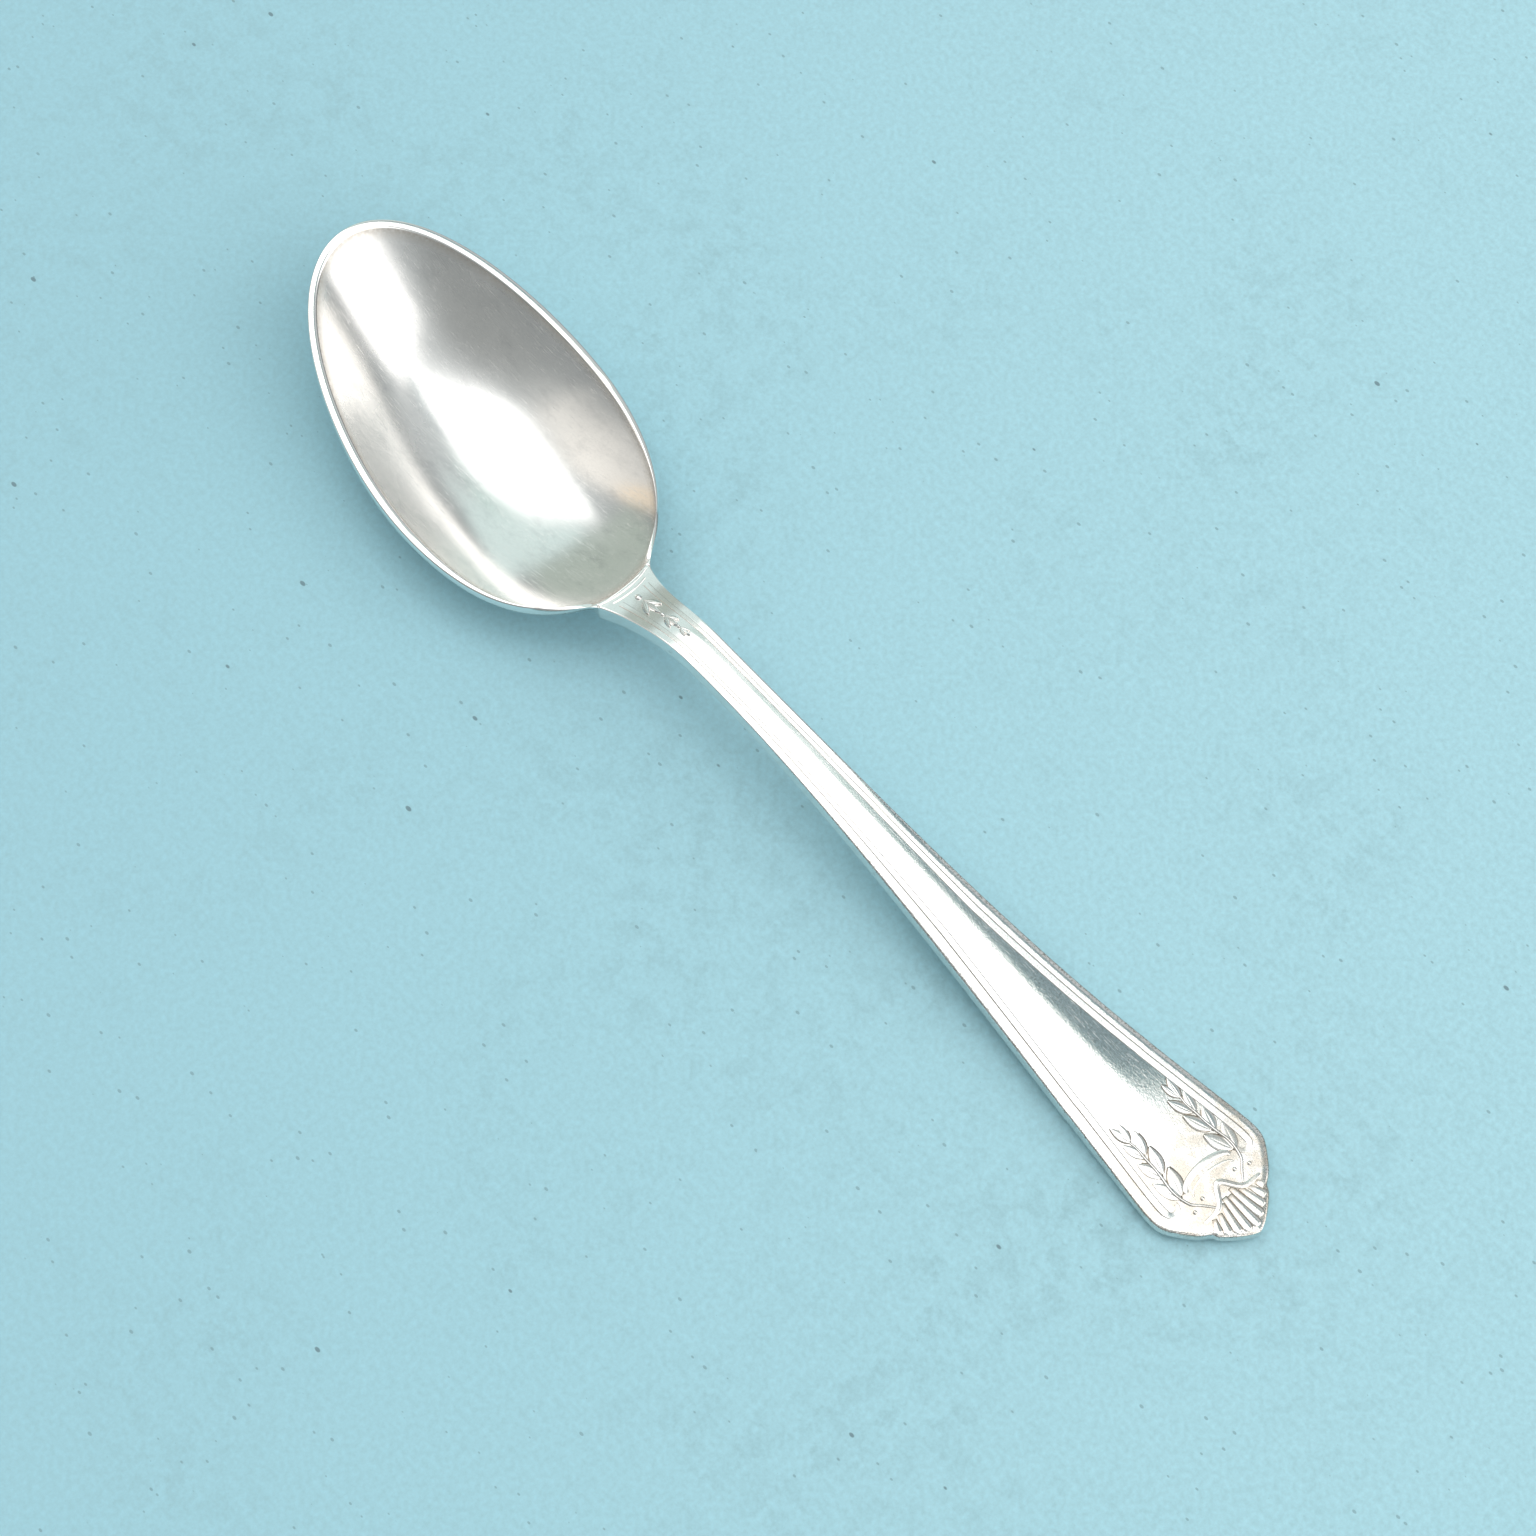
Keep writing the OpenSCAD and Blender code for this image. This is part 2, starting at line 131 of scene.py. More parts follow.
@dataclass(frozen=True)
class SpoonForm:
    """Outline, heights and thickness of the spoon as formulas of the station, in millimetres."""

    length: float
    bowl_l: float
    stem_x: float
    stem_end: float
    end_x: float
    mid_y: float
    bowl_w: float = 29.9
    bowl_egg: float = 0.11
    bowl_full: float = 0.06
    bowl_lean: float = 5.2
    lean_p: float = 1.25
    deep_x: float = 25.0
    hollow_y: float = -1.6
    rim_low_x: float = 32.0
    bowl_round: float = 2.3
    rim_w: float = 1.1
    rim_edge_h: float = 1.0
    floor_t: float = 1.0
    wear_d: float = 0.12
    tip_h: float = 12.8
    rim_low_h: float = 8.2
    neck_h: float = 8.5
    stem_h: float = 12.0
    blade_h: float = 3.1
    end_h: float = 1.8
    stem_w: float = 4.5
    neck_flare: float = 2.5
    flare_run: float = 4.0
    shoulder_w: float = 16.7
    shoulder_d: float = 5.7
    shoulder_blend: float = 1.2
    lobe_w: float = 2.05
    lobe_p: float = 0.7
    notch_d: float = 0.35
    notch_x: float = 3.1
    notch_w: float = 0.5
    blunt_w: float = 0.06
    neck_t: float = 3.8
    stem_t: float = 3.3
    neck_blend: float = 2.0
    heel_gap: float = 1.0
    hollow_gap: float = 0.1
    tip_s: float = -0.22
    neck_s: float = 0.22
    stem_s: float = -0.03
    neck_ts: float = -0.05
    stem_ts: float = -0.01
    wall_share: float = 0.45
    side_p: float = 3.0
    sec_round: float = 3.0

    @classmethod
    def from_frame(cls) -> "SpoonForm":
        """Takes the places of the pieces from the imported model.

        Returns:
            The form.
        """
        low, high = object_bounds()
        ends = {n: (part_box(n)[1].x - low.x) / MM for n in ("bowl", "neck", "stem", "handle_blade")}
        stem_low, stem_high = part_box("stem")
        return cls(length=(high.x - low.x) / MM, bowl_l=ends["bowl"], stem_x=ends["neck"],
                   stem_end=ends["stem"], end_x=ends["handle_blade"],
                   mid_y=(stem_low.y + stem_high.y) / 2 / MM)

    @property
    def end_s(self) -> float:
        """Slope of the flat end of the handle."""
        return (self.end_h - self.blade_h) / (self.length - self.end_x)

    def to_frame(self, points: Array) -> Array:
        """Turns station points in millimetres into frame points in metres."""
        return (points + np.array([-self.length / 2, self.mid_y, 0.0])) * MM

    def top_z(self, x: Array) -> Array:
        """Height of the rim and of the handle's top face.

        Args:
            x: Stations.

        Returns:
            The heights.
        """
        runs = ((0.0, self.tip_h, self.tip_s, self.rim_low_x, self.rim_low_h, 0.0),
                (self.rim_low_x, self.rim_low_h, 0.0, self.bowl_l, self.neck_h, self.neck_s),
                (self.bowl_l, self.neck_h, self.neck_s, self.stem_x, self.stem_h, self.stem_s),
                (self.stem_x, self.stem_h, self.stem_s, self.end_x, self.blade_h, self.end_s))
        z = self.blade_h + (x - self.end_x) * self.end_s
        for run in reversed(runs):
            z = np.where(x < run[3], ease(x, *run), z)
        return z

    def thick(self, x: Array) -> Array:
        """Thickness of the handle, whose end reaches down to the table.

        Args:
            x: Stations.

        Returns:
            The thicknesses.
        """
        neck = ease(x, self.bowl_l, self.neck_t, self.neck_ts, self.stem_x, self.stem_t, self.stem_ts)
        blade = ease(x, self.stem_x, self.stem_t, self.stem_ts, self.end_x, self.blade_h + self.wear_d, 0.0)
        end = self.top_z(x) + self.wear_d
        return np.where(x < self.stem_x, neck, np.where(x < self.end_x, blade, end))

    def egg(self, u: Array, w: float) -> Array:
        """Half width of an egg.

        Args:
            u: Shares of the egg's length.
            w: Width of the egg.

        Returns:
            The half widths.
        """
        c = 1 - 2 * np.clip(u, 0.0, 1.0)
        swell = 1 - self.bowl_egg * c + self.bowl_full * c * c
        return w / 2 * np.sqrt(np.maximum(0.0, 1 - c * c)) * swell / (1 + self.bowl_egg ** 2 / 2)

    def flare(self, x: Array) -> Array:
        """Half width of the handle before its shoulders are rounded.

        Args:
            x: Stations.

        Returns:
            The half widths.
        """
        v = np.maximum(0.0, (x - self.stem_x) / (self.length - self.shoulder_d - self.stem_x))
        extra = self.neck_flare / 2 * np.exp(-(x - self.bowl_l) / self.flare_run)
        return self.stem_w / 2 + (self.shoulder_w - self.stem_w) / 2 * v * v + extra

    def lobe(self, d: Array) -> Array:
        """Half width of the lobe at the distance d from the last point."""
        notch = self.notch_d * np.exp(-((d - self.notch_x) / self.notch_w) ** 2)
        return self.lobe_w * np.maximum(d, 0.0) ** self.lobe_p - notch

    def half_w(self, x: Array) -> Array:
        """Half width of the whole outline.

        Args:
            x: Stations.

        Returns:
            The half widths.
        """
        egg = self.egg(x / (self.bowl_l - self.heel_gap), self.bowl_w)
        past = np.exp(-np.maximum(0.0, x - self.bowl_l) / self.flare_run)
        before = (x - self.rim_low_x) / (self.bowl_l - self.rim_low_x)
        narrow = np.where(x > self.bowl_l, past, before)
        middle = smooth_max(egg, self.flare(np.maximum(x, self.bowl_l)), self.neck_blend * narrow)
        end = smooth_min(self.flare(x), self.lobe(self.length - x), self.shoulder_blend)
        end = np.maximum(self.blunt_w, end)
        return np.where(x < self.rim_low_x, egg, np.where(x < self.end_x, middle, end))

    def lean(self, x: Array) -> Array:
        """Sideways lean of the bowl's middle line."""
        return self.bowl_lean * np.maximum(0.0, 1 - x / self.bowl_l) ** self.lean_p

    def inner_edge(self, a: Array) -> Array:
        """Points of the hollow's edge.

        Args:
            a: Angles round the bowl, where 0 is the tip and pi the heel.

        Returns:
            The points.
        """
        u = (1 - np.cos(a)) / 2
        x = self.rim_w + (self.bowl_l - self.hollow_gap - self.rim_w) * u
        y = -np.sign(a) * self.egg(u, self.bowl_w - 2 * self.rim_w) + self.lean(x)
        return np.stack([x, y, self.top_z(x)], -1)

    def outer_edge(self, a: Array) -> Array:
        """Points of the rim's outline at the angles a."""
        x = self.bowl_l / 2 * (1 - np.cos(a))
        return np.stack([x, -np.sign(a) * self.half_w(x) + self.lean(x), self.top_z(x)], -1)

    def rim_side(self, x: Array) -> Array:
        """Upright edge of the rim, which grows into the side of the neck."""
        u = np.maximum(0.0, x - self.rim_low_x) / (self.bowl_l - self.rim_low_x)
        return self.rim_edge_h + (self.wall_share * self.neck_t - self.rim_edge_h) * u ** self.side_p


@dataclass
class Skin:
    """Part of the spoon's skin before it becomes an object: points, faces and painted values."""

    name: str
    points: Array
    faces: list[tuple[int, ...]]
    caps: list[tuple[int, ...]]
    marks: dict[str, Array]


def plain_mesh(name: str, points: Array, faces: Sequence[tuple[int, ...]]) -> bpy.types.Mesh:
    """Makes a smooth mesh from points in metres.

    Args:
        name: Name of the mesh.
        points: Points, one row each.
        faces: Corners of each face.

    Returns:
        The mesh.
    """
    mesh = bpy.data.meshes.new(name)
    mesh.from_pydata(points.tolist(), [], [tuple(f) for f in faces])
    mesh.polygons.foreach_set("use_smooth", np.ones(len(mesh.polygons), bool))
    mesh.update()
    return mesh


def paint(mesh: bpy.types.Mesh, name: str, values: Array) -> None:
    """Stores one value at each vertex of a mesh."""
    layer = mesh.attributes.get(name) or mesh.attributes.new(name, "FLOAT", "POINT")
    layer.data.foreach_set("value", np.asarray(values, np.float32))


def link_object(name: str, mesh: bpy.types.Mesh) -> bpy.types.Object:
    """Puts a mesh into the scene as an object at the origin.

    Args:
        name: Name of the object.
        mesh: Its mesh.

    Returns:
        The object.
    """
    obj = bpy.data.objects.new(name, mesh)
    bpy.context.scene.collection.objects.link(obj)
    return obj


def triangles(faces: Sequence[tuple[int, ...]]) -> Array:
    """Splits faces into triangles.

    Args:
        faces: Faces of three or four corners.

    Returns:
        The triangles, one row each.
    """
    out = []
    for f in faces:
        out.append((f[0], f[1], f[2]))
        if len(f) == 4:
            out.append((f[0], f[2], f[3]))
    return np.array(out, int)


def shared_normals(skins: Sequence[Skin]) -> dict[tuple[int, int, int], Array]:
    """Normals of a skin that is cut into pieces, the same on both sides of each cut.

    Args:
        skins: Pieces of one skin, whose cut edges share their points.

    Returns:
        The unit normal at each point, by the point's rounded place.
    """
    sums: dict[tuple[int, int, int], Array] = {}
    for skin in skins:
        tri = triangles(skin.faces)
        p = skin.points
        normal = np.cross(p[tri[:, 1]] - p[tri[:, 0]], p[tri[:, 2]] - p[tri[:, 0]])
        total = np.zeros_like(p)
        for k in range(3):
            np.add.at(total, tri[:, k], normal)
        for key, n in zip(map(tuple, np.round(p * 1e4).astype(int)), total):
            sums[key] = sums.get(key, 0.0) + n
    return {k: n / max(np.linalg.norm(n), 1e-12) for k, n in sums.items()}


def ring_faces(count: int, n: int) -> list[tuple[int, ...]]:
    """Faces between closed rings that follow one another.

    Args:
        count: Number of rings.
        n: Points in a ring.

    Returns:
        The faces.
    """
    return [(i * n + j, i * n + (j + 1) % n, (i + 1) * n + (j + 1) % n, (i + 1) * n + j)
            for i in range(count - 1) for j in range(n)]


@dataclass
class Bowl:
    """The bowl: a hollow, a rolled rim and a rounded back, in columns round its deepest point."""

    form: SpoonForm
    ring: "HandleRing"
    side_n: int = 150
    wall_n: int = 46
    side_rows: int = 4
    # Painted values of the rows at the line where the hollow meets the rim
    line_marks: tuple[float, ...] = (0.25, 0.6, 0.3)
    neck_half_angle: float = math.radians(13.0)
    ridge_p: float = 6.0
    # The rim's profile from the hollow to the outline: share of its width and drop below its crest
    rim_profile: tuple[tuple[float, float], ...] = (
        (0.00, 0.17), (0.06, 0.105), (0.13, 0.055), (0.21, 0.022), (0.31, 0.004), (0.45, 0.0),
        (0.62, 0.002), (0.76, 0.012), (0.85, 0.04), (0.92, 0.095), (0.97, 0.19), (1.00, 0.34))

    def columns(self) -> tuple[Array, Array, Array]:
        """Places of the columns round the bowl.

        Returns:
            The inner edge, the top edge and the low edge, one row for each column.
        """
        form, ring = self.form, self.ring
        a = np.linspace(-math.pi, math.pi, 2 * self.side_n + 1)
        top, back = ring.rows(np.array([form.bowl_l]))
        across = top.shape[1] - 1
        share = (math.pi - self.neck_half_angle) / math.pi
        k = np.arange(1, across)
        neck = math.pi - self.neck_half_angle + 2 * self.neck_half_angle * k / across
        neck = np.where(neck > math.pi, neck - 2 * math.pi, neck)
        inner = form.inner_edge(np.concatenate([a * share, neck]))
        outer = form.outer_edge(a)
        low = outer - np.array([0, 0, 1.0]) * form.rim_side(outer[:, :1])
        top_edge = np.concatenate([outer, top[0][k]])
        low_edge = np.concatenate([low, back[0][k]])
        return inner, top_edge, low_edge

    def build(self) -> Skin:
        """Builds the bowl's skin with the cut that meets the neck.

        Returns:
            The skin in millimetres along the spoon.
        """
        form = self.form
        inner, top, low = self.columns()
        count = len(inner)
        on_neck = np.arange(count) > 2 * self.side_n
        mid = np.array([form.deep_x, float(form.lean(np.array(form.deep_x))) + form.hollow_y])
        wall = np.arange(1, self.wall_n + 1) / self.wall_n
        edge_drop = self.rim_profile[0][1]

        def rise(edge: Array, z0: float, r: float) -> Array:
            """Row of points at the share r from the deepest point to an edge."""
            flat = mid + (edge[:, :2] - mid) * r
            return np.column_stack([flat, z0 + (edge[:, 2] - z0) * r ** form.bowl_round])

        rows = [rise(inner - np.array([0, 0, edge_drop]), form.floor_t, r) for r in wall]
        for share, drop in self.rim_profile[1:]:
            fade = np.where(on_neck, 1 - share, 1.0)
            rows.append(inner + (top - inner) * share - np.array([0, 0, 1.0]) * (drop * fade)[:, None])
        edge = rows[-1]
        for i in range(1, self.side_rows):
            rows.append(edge + (low - edge) * (i / self.side_rows))
        neck_low = np.where(on_neck, self.ring.low_edge_z(), low[:, 2])
        ridge = np.where(on_neck, low[:, 2] - neck_low, 0.0)
        base = np.column_stack([low[:, :2], neck_low])
        for r in wall[::-1]:
            row = rise(base, -form.wear_d, r)
            row[:, 2] = np.maximum(0.0, row[:, 2] + ridge * r ** self.ridge_p)
            rows.append(row)
        points = np.concatenate([[[*mid, form.floor_t], [*mid, 0.0]], np.concatenate(rows)])
        satin = np.zeros(len(points))
        satin[:2 + self.wall_n * count] = 1.0
        return Skin("bowl", points, *self.faces(count, len(rows)),
                    marks={RECESS: self.recess(count, len(rows)), SATIN: satin})

    def recess(self, count: int, rows: int) -> Array:
        """Painted value of the line where the hollow meets the rim.

        Args:
            count: Number of columns.
            rows: Number of rows in a column.

        Returns:
            A value for each point.
        """
        values = np.zeros(2 + count * rows)
        for row, amount in enumerate(self.line_marks, self.wall_n - 2):
            values[2 + row * count:2 + (row + 1) * count] = amount
        return values

    def faces(self, count: int, rows: int) -> tuple[list, list]:
        """Faces of the skin and of the cut that meets the neck.

        Args:
            count: Number of columns.
            rows: Number of rows in a column.

        Returns:
            The skin's faces and the cut's faces.
        """
        skin, cut = [], []
        first_side = self.wall_n + len(self.rim_profile) - 2
        last_side = first_side + self.side_rows
        for j in range(count):
            n = (j + 1) % count
            neck = j >= 2 * self.side_n
            skin.append((0, 2 + j, 2 + n))
            last = 2 + (rows - 1) * count
            skin.append((1, last + n, last + j))
            for i in range(rows - 1):
                a = 2 + i * count
                b = a + count
                face = (a + j, b + j, b + n, a + n)
                (cut if neck and first_side <= i < last_side else skin).append(face)
        return skin, cut


@dataclass
class HandleRing:
    """One section of the handle: the top with its border and panel, and the rounded back."""

    form: SpoonForm
    # Insets of the border's lines from the edge, at full width
    insets: tuple[float, ...] = (0.0, 0.004, 0.02, 0.05, 0.1, 0.17, 0.26, 0.37, 0.5, 0.64, 0.8, 0.98, 1.15,
                                 1.216, 1.22, 1.235, 1.25, 1.265, 1.28, 1.284, 1.36, 1.65, 2.05, 2.09, 2.12,
                                 2.22, 2.35, 2.5)
    panel_n: int = 26
    thread_in: float = 1.25
    thread_share: float = 0.33
    corner_r: float = 0.2
    corner_share: float = 1.3
    roll_w: float = 0.8
    roll_s: float = 0.27
    roll_from: float = 82.0
    roll_to: float = 108.0
    groove_w: float = 0.06
    groove_d: float = 0.025
    groove_faint: float = 0.15
    groove_from: float = 84.0
    groove_to: float = 122.0
    strip_w: float = 0.84
    crown: float = 0.003
    # The panel's flat middle, the far side of the bend beside it and the fall past it, at the stem and
    # on the blade
    bend_from: tuple[float, float] = (0.38, 0.25)
    bend_to: tuple[float, float] = (0.62, 1.6)
    fall_s: tuple[float, float] = (0.0185, 0.038)
    fall_from: float = 84.0
    fall_to: float = 110.0
    flat_from: float = 123.0
    flat_to: float = 138.0
    flat_share: float = 0.85
    # Where the panel rises after the bowl and sinks into the end, from the bowl's and the spoon's last point
    panel_rise: tuple[float, float] = (0.6, 3.0)
    panel_sink: tuple[float, float] = (9.0, 4.0)
    border_from: float = 1.1
    border_run: float = 1.2
    curl_d: float = 7.9
    curl_fade: tuple[float, float] = (-0.5, 0.3)
    # Runs before the flat end where the nearest point of the outline takes over, and its reach
    end_run: tuple[float, float] = (8.0, 2.0)
    outline_run: float = 14.0
    batch: int = 4000
    outline: Array = field(init=False)

    def __post_init__(self) -> None:
        """Works out the points of the handle's outline."""
        form = self.form
        x = np.concatenate([np.arange(form.bowl_l - 3, form.end_x, 0.08),
                            form.length - np.geomspace(form.length - form.end_x, 1e-3, 900), [form.length]])
        self.outline = np.column_stack([x, form.half_w(x)])

    def thread_inset(self, x: Array) -> Array:
        """Distance of the border thread from the edge."""
        return np.minimum(self.thread_in, self.form.half_w(x) * self.thread_share)

    def across(self, x: Array) -> Array:
        """Places across the section.

        Args:
            x: Stations.

        Returns:
            One row of y values for each station.
        """
        w = self.form.half_w(x)[:, None]
        q = self.thread_inset(x)[:, None] / self.thread_in
        edge = w - np.array(self.insets)[None] * q
        inner = edge[:, -1:]
        panel = inner * np.cos(np.linspace(0, math.pi, self.panel_n + 1))[None, 1:-1]
        return np.concatenate([-edge, -panel, edge[:, ::-1]], 1)

    def edge_distance(self, x: Array, y: Array) -> Array:
        """Distance of points from the outline, over the whole end of the handle.

        Args:
            x: Stations.
            y: Places across.

        Returns:
            The distances.
        """
        straight = self.form.half_w(x) - np.abs(y)
        start, full = (self.form.end_x - run for run in self.end_run)
        near_end = x > start
        if not near_end.any():
            return straight
        points = np.column_stack([x[near_end], np.abs(y[near_end])])
        best = np.full(len(points), 1e9)
        line = self.outline[self.outline[:, 0] > self.form.end_x - self.outline_run]
        for part in np.array_split(np.arange(len(points)), max(1, len(points) // self.batch)):
            d = points[part][:, None] - line[None]
            best[part] = np.sqrt((d ** 2).sum(-1).min(1))
        share = smooth_step(x[near_end], start, full)
        out = straight.copy()
        out[near_end] += (np.minimum(straight[near_end], best) - straight[near_end]) * share
        return np.maximum(out, 0.0)

    def border(self, x: Array) -> Array:
        """Share of the border's grooves, which start at the neck's lines and stop at the curls.

        Args:
            x: Stations.

        Returns:
            The shares.
        """
        start = self.form.bowl_l + self.border_from
        curl = self.form.length - self.curl_d
        ended = smooth_step(x, curl + self.curl_fade[0], curl + self.curl_fade[1])
        return smooth_step(x, start, start + self.border_run) * (1 - ended)

    def surface(self, x: Array, y: Array) -> tuple[Array, Array]:
        """Height of the handle's top face and how deep in a line of the border it lies.

        Args:
            x: Stations.
            y: Places across.

        Returns:
            The heights, and values from 0 on open faces to 1 in a line.
        """
        form = self.form
        d = self.edge_distance(x, y)
        inset = self.thread_inset(x)
        q = inset / self.thread_in
        radius = self.corner_r * np.minimum(1.0, q * self.corner_share)
        rounded = np.clip(1 - d / radius, 0.0, 1.0)
        rolled = np.clip(1 - d / self.roll_w, 0.0, 1.0) ** 2 * smooth_step(x, self.roll_from, self.roll_to)
        z = form.top_z(x) - radius * (1 - np.sqrt(1 - rounded ** 2)) - self.roll_s * self.roll_w / 2 * rolled
        share = self.border(x)
        along = smooth_step(x, self.groove_from, self.groove_to)
        struck = self.groove_faint + (1 - self.groove_faint) * along
        groove = smooth_step(1 - np.abs(d - inset) / (self.groove_w / 2 * q), 0, 1) * share * struck
        z = z - self.groove_d * q * groove
        strip = inset + self.strip_w * q
        panel_half = np.maximum(1e-3, form.half_w(x) - strip)
        begin = smooth_step(x, *(form.bowl_l + run for run in self.panel_rise))
        inner = np.minimum(np.abs(y), panel_half)
        bowed = (panel_half ** 2 - inner ** 2) * self.crown
        bowed = bowed + self.fall(x, panel_half) - self.fall(x, inner)
        bowed = bowed * (1 - self.flat_share * smooth_step(x, self.flat_from, self.flat_to))
        fade = 1 - smooth_step(x, *(form.length - run for run in self.panel_sink))
        return z + begin * fade * bowed, groove

    def fall(self, x: Array, y: Array) -> Array:
        """Drop of the panel from its flat middle to a place beside it.

        Args:
            x: Stations.
            y: Distances from the middle line.

        Returns:
            The drops.
        """
        along = smooth_step(x, self.fall_from, self.fall_to)
        near, far, slope = (a + (b - a) * along for a, b in (self.bend_from, self.bend_to, self.fall_s))
        u = np.clip((y - near) / (far - near), 0.0, 1.0)
        return slope * ((far - near) * (u ** 3 - u ** 4 / 2) + np.maximum(0.0, y - far))

    def low_edge_z(self) -> float:
        """Height of the foot of the side wall where the neck leaves the bowl."""
        return self.form.neck_h - self.form.neck_t * self.form.wall_share

    def rows(self, x: Array) -> tuple[Array, Array]:
        """Top and back points of sections.

        Args:
            x: Stations.

        Returns:
            The top rows and the back rows, each an array of sections, points and coordinates.
        """
        form = self.form
        y = self.across(x)
        xs = np.broadcast_to(x[:, None], y.shape)
        top_z, _ = self.surface(xs.ravel(), y.ravel())
        top = np.stack([xs, y, top_z.reshape(y.shape)], -1)
        t = form.thick(x)[:, None]
        h = t * form.wall_share
        v = np.abs(y / form.half_w(x)[:, None])
        bulge = (t - h) * np.maximum(0.0, 1 - v ** form.sec_round) ** (1 / form.sec_round)
        back_z = np.maximum(0.0, form.top_z(x)[:, None] - h - bulge)
        return top, np.stack([xs, y, back_z], -1)


@dataclass
class Handle:
    """The handle's four stretches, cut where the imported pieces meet."""

    form: SpoonForm
    ring: HandleRing
    step: float = 0.4
    neck_step: float = 0.22
    end_n: int = 170
    wall_rows: int = 3
    # Stations where the speckle of the edge starts and is full, and its reach from the edge
    speckled: tuple[float, float] = (62.0, 100.0)
    speckle_d: tuple[float, float] = (0.25, 0.6)
    # Runs before the last point where the patina starts and is full
    patina_run: tuple[float, float] = (20.0, 9.0)

    def stretches(self) -> dict[str, Array]:
        """Stations of each stretch of the handle.

        Returns:
            The stations by the name of the stretch.
        """
        form = self.form

        def even(x0: float, x1: float, step: float) -> Array:
            """Stations at even steps."""
            return np.linspace(x0, x1, max(3, round((x1 - x0) / step)) + 1)

        quarter = np.linspace(0, math.pi / 2, self.end_n + 1)
        closing = form.end_x + (form.length - form.end_x) * np.sin(quarter)
        return {"neck": even(form.bowl_l, form.stem_x, self.neck_step),
                "stem": even(form.stem_x, form.stem_end, self.step),
                "handle_blade": even(form.stem_end, form.end_x, self.step),
                "terminal": closing}

    def build(self, name: str, x: Array) -> Skin:
        """Builds one stretch of the handle.

        Args:
            name: Name of the stretch.
            x: Its stations.

        Returns:
            The skin in millimetres along the spoon, with flat cuts at both ends.
        """
        top, back = self.ring.rows(x)
        across = top.shape[1]
        shares = np.arange(1, self.wall_rows + 1) / (self.wall_rows + 1)
        left = [top[:, 0] + (back[:, 0] - top[:, 0]) * s for s in shares]
        right = [back[:, -1] + (top[:, -1] - back[:, -1]) * s for s in shares]
        rings = np.concatenate([top[:, ::-1], np.stack(left, 1), back, np.stack(right, 1)], 1)
        n = rings.shape[1]
        caps = self.caps(across, n, len(x))
        points = rings.reshape(-1, 3)
        _, groove = self.ring.surface(points[:, 0], points[:, 1])
        on_top = np.tile(np.arange(n) < across, len(x))
        patina = smooth_step(points[:, 0], *(self.form.length - run for run in self.patina_run))
        edge = 1 - smooth_step(self.ring.edge_distance(points[:, 0], points[:, 1]), *self.speckle_d)
        edge = edge * smooth_step(points[:, 0], *self.speckled)
        marks = {RECESS: groove * on_top, PATINA: patina * on_top, EDGE: edge * on_top}
        return Skin(name, points, ring_faces(len(x), n), caps, marks)

    def caps(self, across: int, n: int, sections: int) -> list[tuple[int, ...]]:
        """Faces of the cuts at both ends of a stretch.

        Args:
            across: Points across a section.
            n: Points round a section.
            sections: Number of sections.

        Returns:
            The faces of both cuts.
        """
        back = across + self.wall_rows
        strip = [(k, k + 1, back + across - 2 - k, back + across - 1 - k) for k in range(across - 1)]
        right_wall = [back + across + k for k in range(self.wall_rows)]
        left_wall = [across + k for k in range(self.wall_rows)]
        strip[0] = (*strip[0], *right_wall)
        strip[-1] = (*strip[-1][:2], *left_wall, *strip[-1][2:])
        last = (sections - 1) * n
        return [tuple(reversed(f)) for f in strip] + [tuple(i + last for i in f) for f in strip]


def loft(rings: Array) -> tuple[Array, list[tuple[int, ...]]]:
    """Closed form through rings of points.

    Args:
        rings: Rings in order, each the same number of points.

    Returns:
        The points and the faces, with one face over each end.
    """
    count, n = rings.shape[:2]
    faces = ring_faces(count, n)
    faces.append(tuple(range(n - 1, -1, -1)))
    faces.append(tuple((count - 1) * n + j for j in range(n)))
    return rings.reshape(-1, 3), faces


@dataclass(frozen=True)
class Placement:
    """Place, heading and size of one motif on the handle, in millimetres."""

    x: float
    y: float
    heading: float
    size: tuple[float, float, float]


